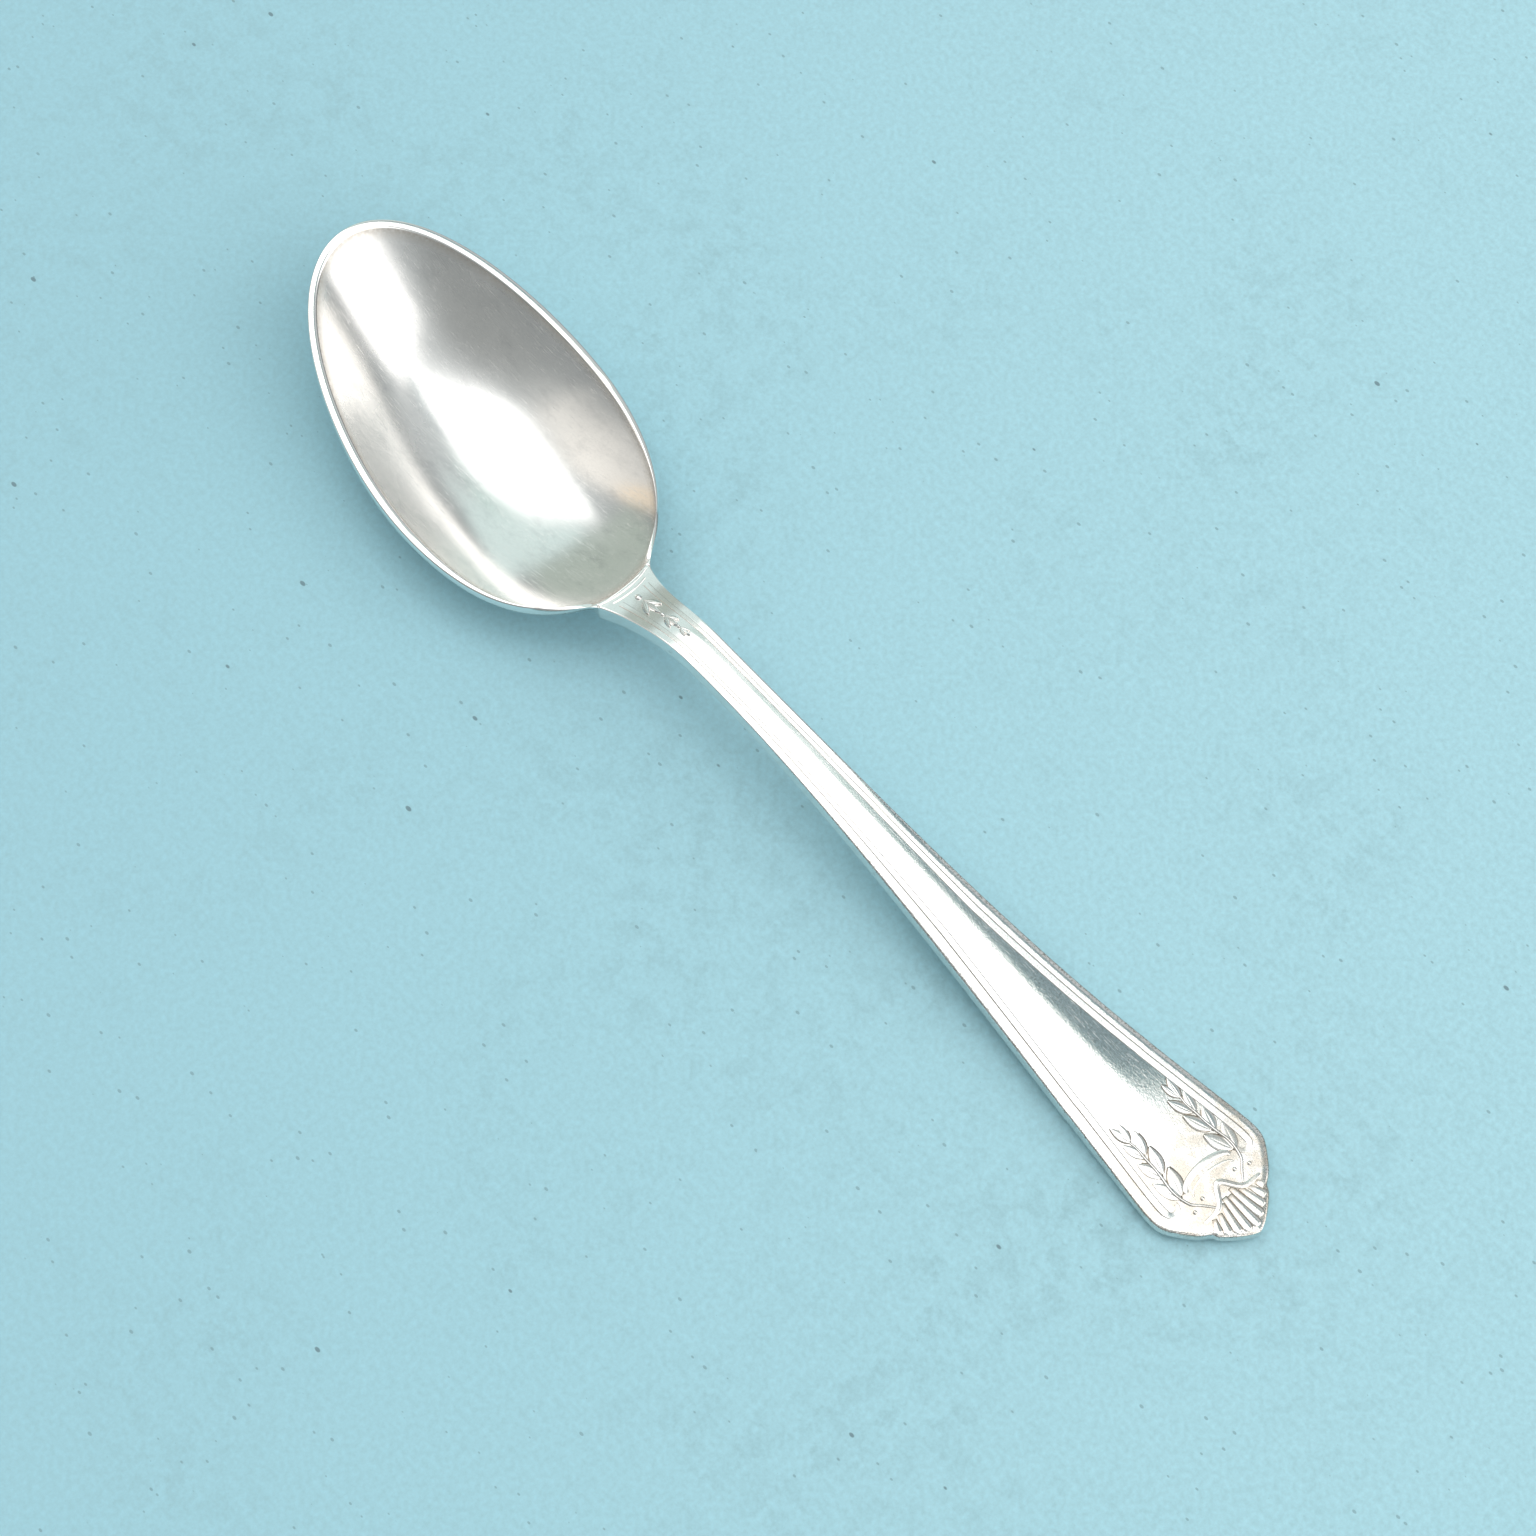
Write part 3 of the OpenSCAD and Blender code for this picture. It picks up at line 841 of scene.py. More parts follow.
@dataclass(frozen=True)
class MotifShapes:
    """Small forms that the struck ornament repeats, each of unit size along +X."""

    length_n: int = 16
    leaf_dome: float = 5.0
    flute_dome: float = 3.5
    flange: float = 0.1
    flange_z: float = 0.06
    foot: float = -0.6
    vein_w: float = 0.06
    across: tuple[float, ...] = (0.03, 0.06, 0.1, 0.2, 0.5, 0.7, 0.8, 0.87, 0.92, 0.96, 0.985, 1.0)

    def rings(self, half: Array, height: Array, vein: Array, dome_p: float) -> Array:
        """Rings of a leaf-like form with a thin flange round it.

        Args:
            half: Half width at each step along the form.
            height: Height of its ridge at each step.
            vein: Depth of the groove along its middle, as a share of the height.
            dome_p: Power of the dome across it, which is flatter on top where it is larger.

        Returns:
            The rings.
        """
        v = np.array([-a for a in self.across[::-1]] + [0.0] + list(self.across))
        dome = (1 - np.abs(v) ** dome_p) - vein[:, None] * np.exp(-(v / self.vein_w) ** 2)[None]
        dome = self.flange_z + (1 - self.flange_z) * dome
        u = np.linspace(0, 1, len(half))
        rings = []
        for k in range(len(half)):
            top = [(u[k], half[k] * a, height[k] * z) for a, z in zip(v, dome[k])]
            rim = half[k] + self.flange
            low = self.flange_z * height[k]
            rings.append([(u[k], -rim, self.foot), (u[k], -rim, low), *top, (u[k], rim, low),
                          (u[k], rim, self.foot)][::-1])
        return np.array(rings)

    def leaf(self) -> bpy.types.Object:
        """A rounded laurel leaf with a vein.

        Returns:
            The form.
        """
        u = np.linspace(0, 1, self.length_n + 1)
        half = np.maximum(0.015, 0.5 * np.sin(math.pi * np.clip(u, 0.012, 0.988) ** 0.86) ** 0.8)
        vein = 0.5 * np.maximum(0.0, 0.75 - u)
        return self.template("leaf_form", self.rings(half, np.ones_like(u), vein, self.leaf_dome))

    def flute(self) -> bpy.types.Object:
        """A flute of the shell, which widens and rises towards its end.

        Returns:
            The form.
        """
        u = np.linspace(0, 1, self.length_n + 1)
        rounded = np.sqrt(np.maximum(0.0, 1 - np.maximum(0.0, (u - 0.86) / 0.15) ** 2))
        half = np.maximum(0.02, 0.5 * (0.5 + 0.5 * u) * rounded)
        height = 0.1 + 0.9 * u ** 1.6 * rounded
        return self.template("flute_form", self.rings(half, height, np.zeros_like(u), self.flute_dome))

    def berry(self) -> bpy.types.Object:
        """A low round berry.

        Returns:
            The form.
        """
        a = np.linspace(-0.35, math.pi / 2 - 0.12, 8)
        turn = np.linspace(0, 2 * math.pi, 16, endpoint=False)
        rings = [[(0.5 * math.cos(t) * math.cos(k), 0.5 * math.sin(t) * math.cos(k), math.sin(k))
                  for t in turn] for k in a]
        return self.template("berry_form", np.array(rings))

    @staticmethod
    def template(name: str, rings: Array) -> bpy.types.Object:
        """Puts a unit form into the scene, to be repeated and then removed."""
        return link_object(name, plain_mesh(name, *loft(rings)))


class NodeBench:
    """Places nodes in one tree and joins them."""

    def __init__(self, tree: bpy.types.NodeTree) -> None:
        """Takes the tree to work in."""
        self.tree = tree

    @classmethod
    def fresh(cls, owner: bpy.types.Material | bpy.types.World) -> "NodeBench":
        """Empty nodes of a material or a world.

        Args:
            owner: The material or the world.

        Returns:
            The bench for its tree.
        """
        owner.use_nodes = True
        owner.node_tree.nodes.clear()
        return cls(owner.node_tree)

    def add(self, kind: str, inputs: Optional[dict[Any, Any]] = None, **settings: Any) -> bpy.types.Node:
        """Places one node.

        Args:
            kind: Type of the node.
            inputs: Values or sockets for its inputs, by name or number.
            settings: Properties of the node.

        Returns:
            The node.
        """
        node = self.tree.nodes.new(kind)
        for key, value in settings.items():
            setattr(node, key, value)
        for key, value in (inputs or {}).items():
            if isinstance(value, bpy.types.NodeSocket):
                self.tree.links.new(value, node.inputs[key])
            else:
                node.inputs[key].default_value = value
        return node

    def math(self, operation: str, a: Any, b: Any = 0.0) -> bpy.types.NodeSocket:
        """Result of one calculation on two values."""
        return self.add("ShaderNodeMath", {0: a, 1: b}, operation=operation).outputs[0]

    def blend(self, share: Any, a: Any, b: Any) -> bpy.types.NodeSocket:
        """Colour between two colours."""
        return self.add("ShaderNodeMix", {0: share, 6: a, 7: b}, data_type="RGBA").outputs[2]

    def ramp(self, value: Any, low: float, high: float, to_low: float = 0.0, to_high: float = 1.0,
             soft: bool = True) -> bpy.types.NodeSocket:
        """Value carried from one range to another and held inside it.

        Args:
            value: The value.
            low: Start of the first range.
            high: End of the first range.
            to_low: Start of the second range.
            to_high: End of the second range.
            soft: Whether the ends are soft.

        Returns:
            The socket with the carried value.
        """
        node = self.add("ShaderNodeMapRange", {0: value, 1: low, 2: high, 3: to_low, 4: to_high})
        node.interpolation_type = "SMOOTHSTEP" if soft else "LINEAR"
        return node.outputs[0]

    def noise(self, vector: Any, scale: Any, detail: float, rough: float) -> bpy.types.NodeSocket:
        """Smooth noise at points."""
        return self.add("ShaderNodeTexNoise", {"Vector": vector, "Scale": scale, "Detail": detail,
                                               "Roughness": rough}).outputs[0]

    def attribute(self, name: str) -> bpy.types.NodeSocket:
        """Value painted on the surface."""
        return self.add("ShaderNodeAttribute", attribute_name=name).outputs["Fac"]

    def dot(self, vector: Any, way: Sequence[float]) -> bpy.types.NodeSocket:
        """Length of a vector along a direction."""
        given = {0: vector, 1: tuple(way)}
        return self.add("ShaderNodeVectorMath", given, operation="DOT_PRODUCT").outputs["Value"]

    def length(self, a: Any, b: Any) -> bpy.types.NodeSocket:
        """Length of a step of two parts at right angles."""
        squares = [self.math("MULTIPLY", part, part) for part in (a, b)]
        return self.math("SQRT", self.math("ADD", *squares))


class NodeGroup:
    """A shader effect that several finishes share."""

    def __init__(self, name: str, inputs: dict[str, tuple[str, Any]], outputs: dict[str, str]) -> None:
        """Opens a group.

        Args:
            name: Name of the group.
            inputs: Kind and first value of each input, by name.
            outputs: Kind of each output, by name.
        """
        self.tree = bpy.data.node_groups.new(name, "ShaderNodeTree")
        for key, (kind, value) in inputs.items():
            socket = self.tree.interface.new_socket(key, in_out="INPUT", socket_type=kind)
            if value is not None:
                socket.default_value = value
        for key, kind in outputs.items():
            self.tree.interface.new_socket(key, in_out="OUTPUT", socket_type=kind)
        self.bench = NodeBench(self.tree)
        self.given = self.tree.nodes.new("NodeGroupInput").outputs
        self.result = self.tree.nodes.new("NodeGroupOutput").inputs

    def give(self, name: str, socket: bpy.types.NodeSocket) -> None:
        """Joins a socket to an output of the group."""
        self.tree.links.new(socket, self.result[name])


FLOAT, COLOUR, VECTOR = "NodeSocketFloat", "NodeSocketColor", "NodeSocketVector"


class WearGroups:
    """Shader groups for the marks of use: hairlines, pits and tarnish."""

    def __init__(self) -> None:
        """Builds the three groups."""
        self.hairlines = self.build_hairlines()
        self.pits = self.build_pits()
        self.tarnish = self.build_tarnish()

    @staticmethod
    def build_hairlines() -> bpy.types.NodeTree:
        """Fine scratches in three crossing directions.

        Returns:
            The group's tree.
        """
        group = NodeGroup("Hairlines", {"Vector": (VECTOR, None), "Scale": (FLOAT, 260.0)},
                          {"Height": FLOAT, "Mask": FLOAT})
        bench = group.bench
        lines = []
        # Turn, stretch and threshold of each set of scratches
        for turn, stretch, low in ((0.75, 26.0, 0.62), (-0.5, 34.0, 0.64), (1.35, 22.0, 0.66)):
            placed = bench.add("ShaderNodeMapping", {"Vector": group.given["Vector"],
                                                     "Rotation": (0.0, 0.0, turn),
                                                     "Scale": (1.0, stretch, 1.0)}).outputs[0]
            noise = bench.noise(placed, group.given["Scale"], 3.0, 0.62)
            lines.append(bench.ramp(noise, low, low + 0.1))
        mask = bench.math("MAXIMUM", bench.math("MAXIMUM", lines[0], lines[1]), lines[2])
        group.give("Mask", mask)
        group.give("Height", bench.math("SUBTRACT", 1.0, mask))
        return group.tree

    @staticmethod
    def build_pits() -> bpy.types.NodeTree:
        """Small dents and pits of two sizes.

        Returns:
            The group's tree.
        """
        group = NodeGroup("Pits", {"Vector": (VECTOR, None), "Scale": (FLOAT, 2400.0)},
                          {"Height": FLOAT, "Mask": FLOAT})
        bench = group.bench
        fine = bench.noise(group.given["Vector"], group.given["Scale"], 3.0, 0.6)
        half = bench.math("MULTIPLY", group.given["Scale"], 0.45)
        coarse = bench.noise(group.given["Vector"], half, 2.0, 0.55)
        height = bench.math("ADD", bench.math("MULTIPLY", fine, 0.65), bench.math("MULTIPLY", coarse, 0.35))
        group.give("Height", height)
        group.give("Mask", bench.ramp(fine, 0.46, 0.62))
        return group.tree

    @staticmethod
    def build_tarnish() -> bpy.types.NodeTree:
        """Warm tarnish in recesses and as a faint cloud over struck ground.

        Returns:
            The group's tree.
        """
        group = NodeGroup("Tarnish", {"Vector": (VECTOR, None),
                                      "Recess": (FLOAT, 0.0), "Patina": (FLOAT, 0.0),
                                      "Clean": (COLOUR, (0.9, 0.9, 0.9, 1.0)),
                                      "Stain": (COLOUR, (0.3, 0.25, 0.18, 1.0)),
                                      "Cloud": (COLOUR, (0.8, 0.7, 0.55, 1.0))},
                          {"Color": COLOUR, "Mask": FLOAT})
        bench = group.bench
        broad = bench.noise(group.given["Vector"], 420.0, 3.0, 0.6)
        fine = bench.noise(group.given["Vector"], 2600.0, 3.0, 0.6)
        cloud = bench.math("MULTIPLY", group.given["Patina"], bench.ramp(broad, 0.34, 0.6))
        mask = bench.math("MULTIPLY", group.given["Recess"], bench.ramp(fine, 0.3, 0.62, 0.55, 1.0))
        clouded = bench.blend(cloud, group.given["Clean"], group.given["Cloud"])
        group.give("Color", bench.blend(mask, clouded, group.given["Stain"]))
        group.give("Mask", bench.math("MAXIMUM", mask, bench.math("MULTIPLY", cloud, 0.5)))
        return group.tree


@dataclass(frozen=True)
class SilverFinish:
    """Old silver plate with hairlines, pits and tarnish."""

    name: str
    clean: tuple[float, float, float] = (0.91, 0.895, 0.87)
    stain: tuple[float, float, float] = (0.40, 0.33, 0.25)
    speck: tuple[float, float, float] = (0.45, 0.43, 0.40)
    cloud: tuple[float, float, float] = (0.74, 0.67, 0.58)
    rough: float = 0.06
    satin_rough: tuple[float, float] = (0.24, 0.12)
    satin_ends: tuple[float, float] = (-0.06, -0.028)
    scuff: tuple[float, float, float] = (0.60, 0.60, 0.595)
    scuff_share: float = 0.42
    satin_lines: float = 2.8
    smooth_ends: tuple[float, float] = (0.006, 0.034)
    smooth_share: float = 0.2
    rough_vary: float = 0.05
    rough_mark: float = 0.08
    hairline_scale: float = 420.0
    hairline_depth: float = 0.0000008
    pit_scale: float = 5500.0
    pit_depth: float = 0.0000075
    edge_pit_depth: float = 0.000003
    speck_share: float = 0.35
    stain_rough: float = 0.25
    cloudy_scale: float = 130.0
    scuff_scale: float = 190.0
    scuff_stretch: float = 2.2

    def material(self, wear: WearGroups) -> bpy.types.Material:
        """Builds the material.

        Args:
            wear: Shared groups of marks.

        Returns:
            The material.
        """
        mat = bpy.data.materials.new(self.name)
        bench = NodeBench.fresh(mat)
        coord = bench.add("ShaderNodeTexCoord").outputs["Object"]
        recess, patina, edge, satin = map(bench.attribute, (RECESS, PATINA, EDGE, SATIN))
        lines = bench.add("ShaderNodeGroup", {"Vector": coord, "Scale": self.hairline_scale},
                          node_tree=wear.hairlines)
        pits = bench.add("ShaderNodeGroup", {"Vector": coord, "Scale": self.pit_scale}, node_tree=wear.pits)
        stain = bench.add("ShaderNodeGroup", {"Vector": coord, "Recess": recess, "Patina": patina,
                                              "Clean": (*self.clean, 1.0), "Stain": (*self.stain, 1.0),
                                              "Cloud": (*self.cloud, 1.0)}, node_tree=wear.tarnish)
        cloudy = bench.noise(coord, self.cloudy_scale, 3.0, 0.55)
        rough = bench.math("ADD", bench.ramp(cloudy, 0.3, 0.7, self.rough, self.rough + self.rough_vary),
                           bench.math("MULTIPLY", lines.outputs["Mask"], self.rough_mark))
        rough = bench.math("ADD", rough, bench.math("MULTIPLY", stain.outputs["Mask"], self.stain_rough))
        along = bench.add("ShaderNodeSeparateXYZ", {"Vector": coord}).outputs["X"]
        dulled = bench.ramp(along, *self.satin_ends, *(value - self.rough for value in self.satin_rough))
        rough = bench.math("ADD", rough, bench.math("MULTIPLY", satin, dulled))
        pitted = bench.ramp(along, *self.smooth_ends, self.smooth_share, 1.0)
        specked = bench.math("MAXIMUM", edge, bench.math("MULTIPLY", pitted, self.speck_share))
        worn = bench.math("MULTIPLY", specked, pits.outputs["Mask"])
        colour = bench.blend(worn, stain.outputs["Color"], (*self.speck, 1.0))
        stretch = (1.0, self.scuff_stretch, 1.0)
        drawn = bench.add("ShaderNodeMapping", {"Vector": coord, "Scale": stretch}).outputs[0]
        scuffed = bench.noise(drawn, self.scuff_scale, 6.0, 0.72)
        scuffs = bench.ramp(scuffed, 0.46, 0.74, 0.0, self.scuff_share)
        colour = bench.blend(bench.math("MULTIPLY", scuffs, satin), colour, (*self.scuff, 1.0))
        depth = bench.math("ADD", self.pit_depth, bench.math("MULTIPLY", edge, self.edge_pit_depth))
        depth = bench.math("MULTIPLY", depth, pitted)
        pit_height = bench.math("MULTIPLY", pits.outputs["Height"], depth)
        line_depth = bench.ramp(satin, 0.0, 1.0, self.hairline_depth, self.satin_lines * self.hairline_depth)
        line_height = bench.math("MULTIPLY", lines.outputs["Height"], line_depth)
        height = bench.math("ADD", pit_height, line_height)
        bump = bench.add("ShaderNodeBump", {"Strength": 1.0, "Distance": 1.0, "Height": height})
        shader = bench.add("ShaderNodeBsdfPrincipled", {"Base Color": colour, "Metallic": 1.0,
                                                        "Roughness": rough, "Normal": bump.outputs[0]})
        bench.add("ShaderNodeOutputMaterial", {"Surface": shader.outputs[0]})
        return mat


@dataclass(frozen=True)
class PaperFinish:
    """Pale blue paper with a fine tooth, a faint mottle, small specks and a painted light falloff that
    darkens it towards the left of the camera's view.
    """

    name: str = "pale_paper"
    colour: tuple[float, float, float] = (0.455, 0.735, 0.815)
    # Painted shade: the darker paper colour towards the left of the camera's view, standing in for light
    # falling off across the table
    falloff_shade: tuple[float, float, float] = (0.375, 0.640, 0.725)
    shade: tuple[float, float, float] = (0.31, 0.50, 0.55)
    falloff_way: tuple[float, float, float] = (0.68, 0.733, 0.0)
    falloff_half: float = 0.1
    speck: tuple[float, float, float] = (0.16, 0.24, 0.27)
    speck_stretch: float = 1.7
    # Scale, largest size and strength of each layer of specks
    specks: tuple[tuple[float, float, float], ...] = ((190.0, 0.09, 0.85), (600.0, 0.19, 0.5))
    tooth_scale: float = 1500.0
    mottle_scale: float = 22.0
    smudge_scale: float = 330.0
    smudge_share: float = 0.34
    grain_share: float = 0.5
    tooth_share: float = 0.25
    tooth_depth: float = 0.0001
    rough: float = 0.85
    gloss: float = 0.15

    def material(self) -> bpy.types.Material:
        """Builds the material.

        Returns:
            The material.
        """
        mat = bpy.data.materials.new(self.name)
        bench = NodeBench.fresh(mat)
        coord = bench.add("ShaderNodeTexCoord").outputs["Object"]
        tooth = bench.noise(coord, self.tooth_scale, 4.0, 0.65)
        mottle = bench.ramp(bench.noise(coord, self.mottle_scale, 6.0, 0.68), 0.4, 0.7)
        patches = bench.ramp(bench.noise(coord, self.smudge_scale, 5.0, 0.7), 0.44, 0.62)
        smudge = bench.math("MULTIPLY", bench.math("MULTIPLY", mottle, patches), self.smudge_share)
        grain = bench.ramp(tooth, 0.3, 0.7, 0.0, self.grain_share, soft=False)
        shade = bench.math("ADD", smudge, grain)
        # Painted light falloff: the paper runs from its painted shade colour to its own colour along the
        # camera's right direction
        lit_share = bench.ramp(bench.dot(coord, self.falloff_way), -self.falloff_half, self.falloff_half)
        colour = bench.blend(lit_share, (*self.falloff_shade, 1.0), (*self.colour, 1.0))
        colour = bench.blend(shade, colour, (*self.shade, 1.0))
        stretch = (1.0, self.speck_stretch, 1.0)
        stretched = bench.add("ShaderNodeMapping", {"Vector": coord, "Scale": stretch}).outputs[0]
        for scale, largest, share in self.specks:
            cells = bench.add("ShaderNodeTexVoronoi", {"Vector": stretched, "Scale": scale})
            size = bench.ramp(cells.outputs["Color"], 0.56, 0.9, -0.02, largest)
            dot = bench.ramp(bench.math("SUBTRACT", size, cells.outputs["Distance"]), 0.0, largest / 3)
            colour = bench.blend(bench.math("MULTIPLY", dot, share), colour, (*self.speck, 1.0))
        bump = bench.add("ShaderNodeBump", {"Strength": self.tooth_share, "Distance": self.tooth_depth,
                                            "Height": tooth})
        shader = bench.add("ShaderNodeBsdfPrincipled",
                           {"Base Color": colour, "Roughness": self.rough, "Specular IOR Level": self.gloss,
                            "Normal": bump.outputs[0]})
        bench.add("ShaderNodeOutputMaterial", {"Surface": shader.outputs[0]})
        return mat


class Kind(Enum):
    """What a point of a relief's layout carries."""

    LINE = 0
    MOTIF = 1
    BERRY = 2


class ReliefTree:
    """Geometry nodes that sweep beads along lines and set motifs and berries on points."""

    def __init__(self) -> None:
        """Builds the tree with its named inputs."""
        tree = bpy.data.node_groups.new("StruckRelief", "GeometryNodeTree")
        tree.is_modifier = True
        add = tree.interface.new_socket
        add("Layout", in_out="INPUT", socket_type="NodeSocketGeometry")
        add("Bead Sides", in_out="INPUT", socket_type="NodeSocketInt").default_value = 20
        add("Bead Height", in_out="INPUT", socket_type="NodeSocketFloat").default_value = 0.8
        add("Bead Cut", in_out="INPUT", socket_type="NodeSocketFloat").default_value = 1.0
        add("Motif", in_out="INPUT", socket_type="NodeSocketObject")
        add("Berry", in_out="INPUT", socket_type="NodeSocketObject")
        add("Finish", in_out="INPUT", socket_type="NodeSocketMaterial")
        add("Relief", in_out="OUTPUT", socket_type="NodeSocketGeometry")
        bench = NodeBench(tree)
        given = tree.nodes.new("NodeGroupInput").outputs
        lines = bench.add("GeometryNodeSeparateGeometry",
                          {"Geometry": given["Layout"], "Selection": self.chosen(bench, Kind.LINE)})
        curve = bench.add("GeometryNodeMeshToCurve", {"Mesh": lines.outputs[0]})
        upright = bench.add("GeometryNodeSetCurveNormal", {"Curve": curve.outputs[0]}, mode="Z_UP")
        circle = bench.add("GeometryNodeCurvePrimitiveCircle",
                           {"Resolution": given["Bead Sides"], "Radius": 1.0})
        position = bench.add("GeometryNodeInputPosition").outputs[0]
        place = bench.add("ShaderNodeSeparateXYZ", {0: position}).outputs
        # The profile's -Y side comes out on top
        cut = bench.math("MULTIPLY", given["Bead Cut"], -1.0)
        level = bench.add("ShaderNodeCombineXYZ",
                          {0: place[0], 1: bench.math("MAXIMUM", place[1], cut), 2: place[2]})
        flat = bench.add("GeometryNodeSetPosition",
                         {"Geometry": circle.outputs[0], "Position": level.outputs[0]})
        scale = bench.add("ShaderNodeCombineXYZ", {0: 1.0, 1: given["Bead Height"], 2: 1.0})
        profile = bench.add("GeometryNodeTransform", {"Geometry": flat.outputs[0], "Scale": scale.outputs[0]})
        radius = bench.add("GeometryNodeInputNamedAttribute", {"Name": "bead_radius"}, data_type="FLOAT")
        bead = bench.add("GeometryNodeCurveToMesh",
                         {"Curve": upright.outputs[0], "Profile Curve": profile.outputs[0],
                          "Scale": radius.outputs[0], "Fill Caps": True})
        turn = bench.add("GeometryNodeInputNamedAttribute", {"Name": "turn"}, data_type="FLOAT_VECTOR")
        rotation = bench.add("FunctionNodeEulerToRotation", {"Euler": turn.outputs[0]})
        size = bench.add("GeometryNodeInputNamedAttribute", {"Name": "size"}, data_type="FLOAT_VECTOR")
        joined = bench.add("GeometryNodeJoinGeometry")
        for kind, name in ((Kind.MOTIF, "Motif"), (Kind.BERRY, "Berry")):
            form = bench.add("GeometryNodeObjectInfo", {"Object": given[name]})
            placed = bench.add("GeometryNodeInstanceOnPoints",
                               {"Points": given["Layout"], "Selection": self.chosen(bench, kind),
                                "Instance": form.outputs["Geometry"], "Rotation": rotation.outputs[0],
                                "Scale": size.outputs[0]})
            tree.links.new(placed.outputs[0], joined.inputs[0])
        tree.links.new(bead.outputs[0], joined.inputs[0])
        real = bench.add("GeometryNodeRealizeInstances", {"Geometry": joined.outputs[0]})
        smooth = bench.add("GeometryNodeSetShadeSmooth", {"Geometry": real.outputs[0]})
        dressed = bench.add("GeometryNodeSetMaterial",
                            {"Geometry": smooth.outputs[0], "Material": given["Finish"]})
        out = tree.nodes.new("NodeGroupOutput")
        tree.links.new(dressed.outputs[0], out.inputs[0])
        self.tree = tree

    @staticmethod
    def chosen(bench: NodeBench, kind: Kind) -> bpy.types.NodeSocket:
        """Selects the points of one kind.

        Args:
            bench: The tree's nodes.
            kind: What the points carry.

        Returns:
            The socket of the choice.
        """
        held = bench.add("GeometryNodeInputNamedAttribute", {"Name": "kind"}, data_type="INT")
        same = bench.add("FunctionNodeCompare", {2: held.outputs[0], 3: kind.value}, data_type="INT",
                         operation="EQUAL")
        return same.outputs[0]

    def apply(self, obj: bpy.types.Object, values: dict[str, Any]) -> None:
        """Runs the tree on an object and leaves a plain mesh.

        Args:
            obj: Object that holds the layout.
            values: Values of the named inputs.
        """
        modifier = obj.modifiers.new("relief", "NODES")
        modifier.node_group = self.tree
        for item in self.tree.interface.items_tree:
            if item.item_type == "SOCKET" and item.in_out == "INPUT" and item.name in values:
                modifier[item.identifier] = values[item.name]
        graph = bpy.context.evaluated_depsgraph_get()
        mesh = bpy.data.meshes.new_from_object(obj.evaluated_get(graph))
        layout = obj.data
        obj.modifiers.clear()
        obj.data = mesh
        bpy.data.meshes.remove(layout)


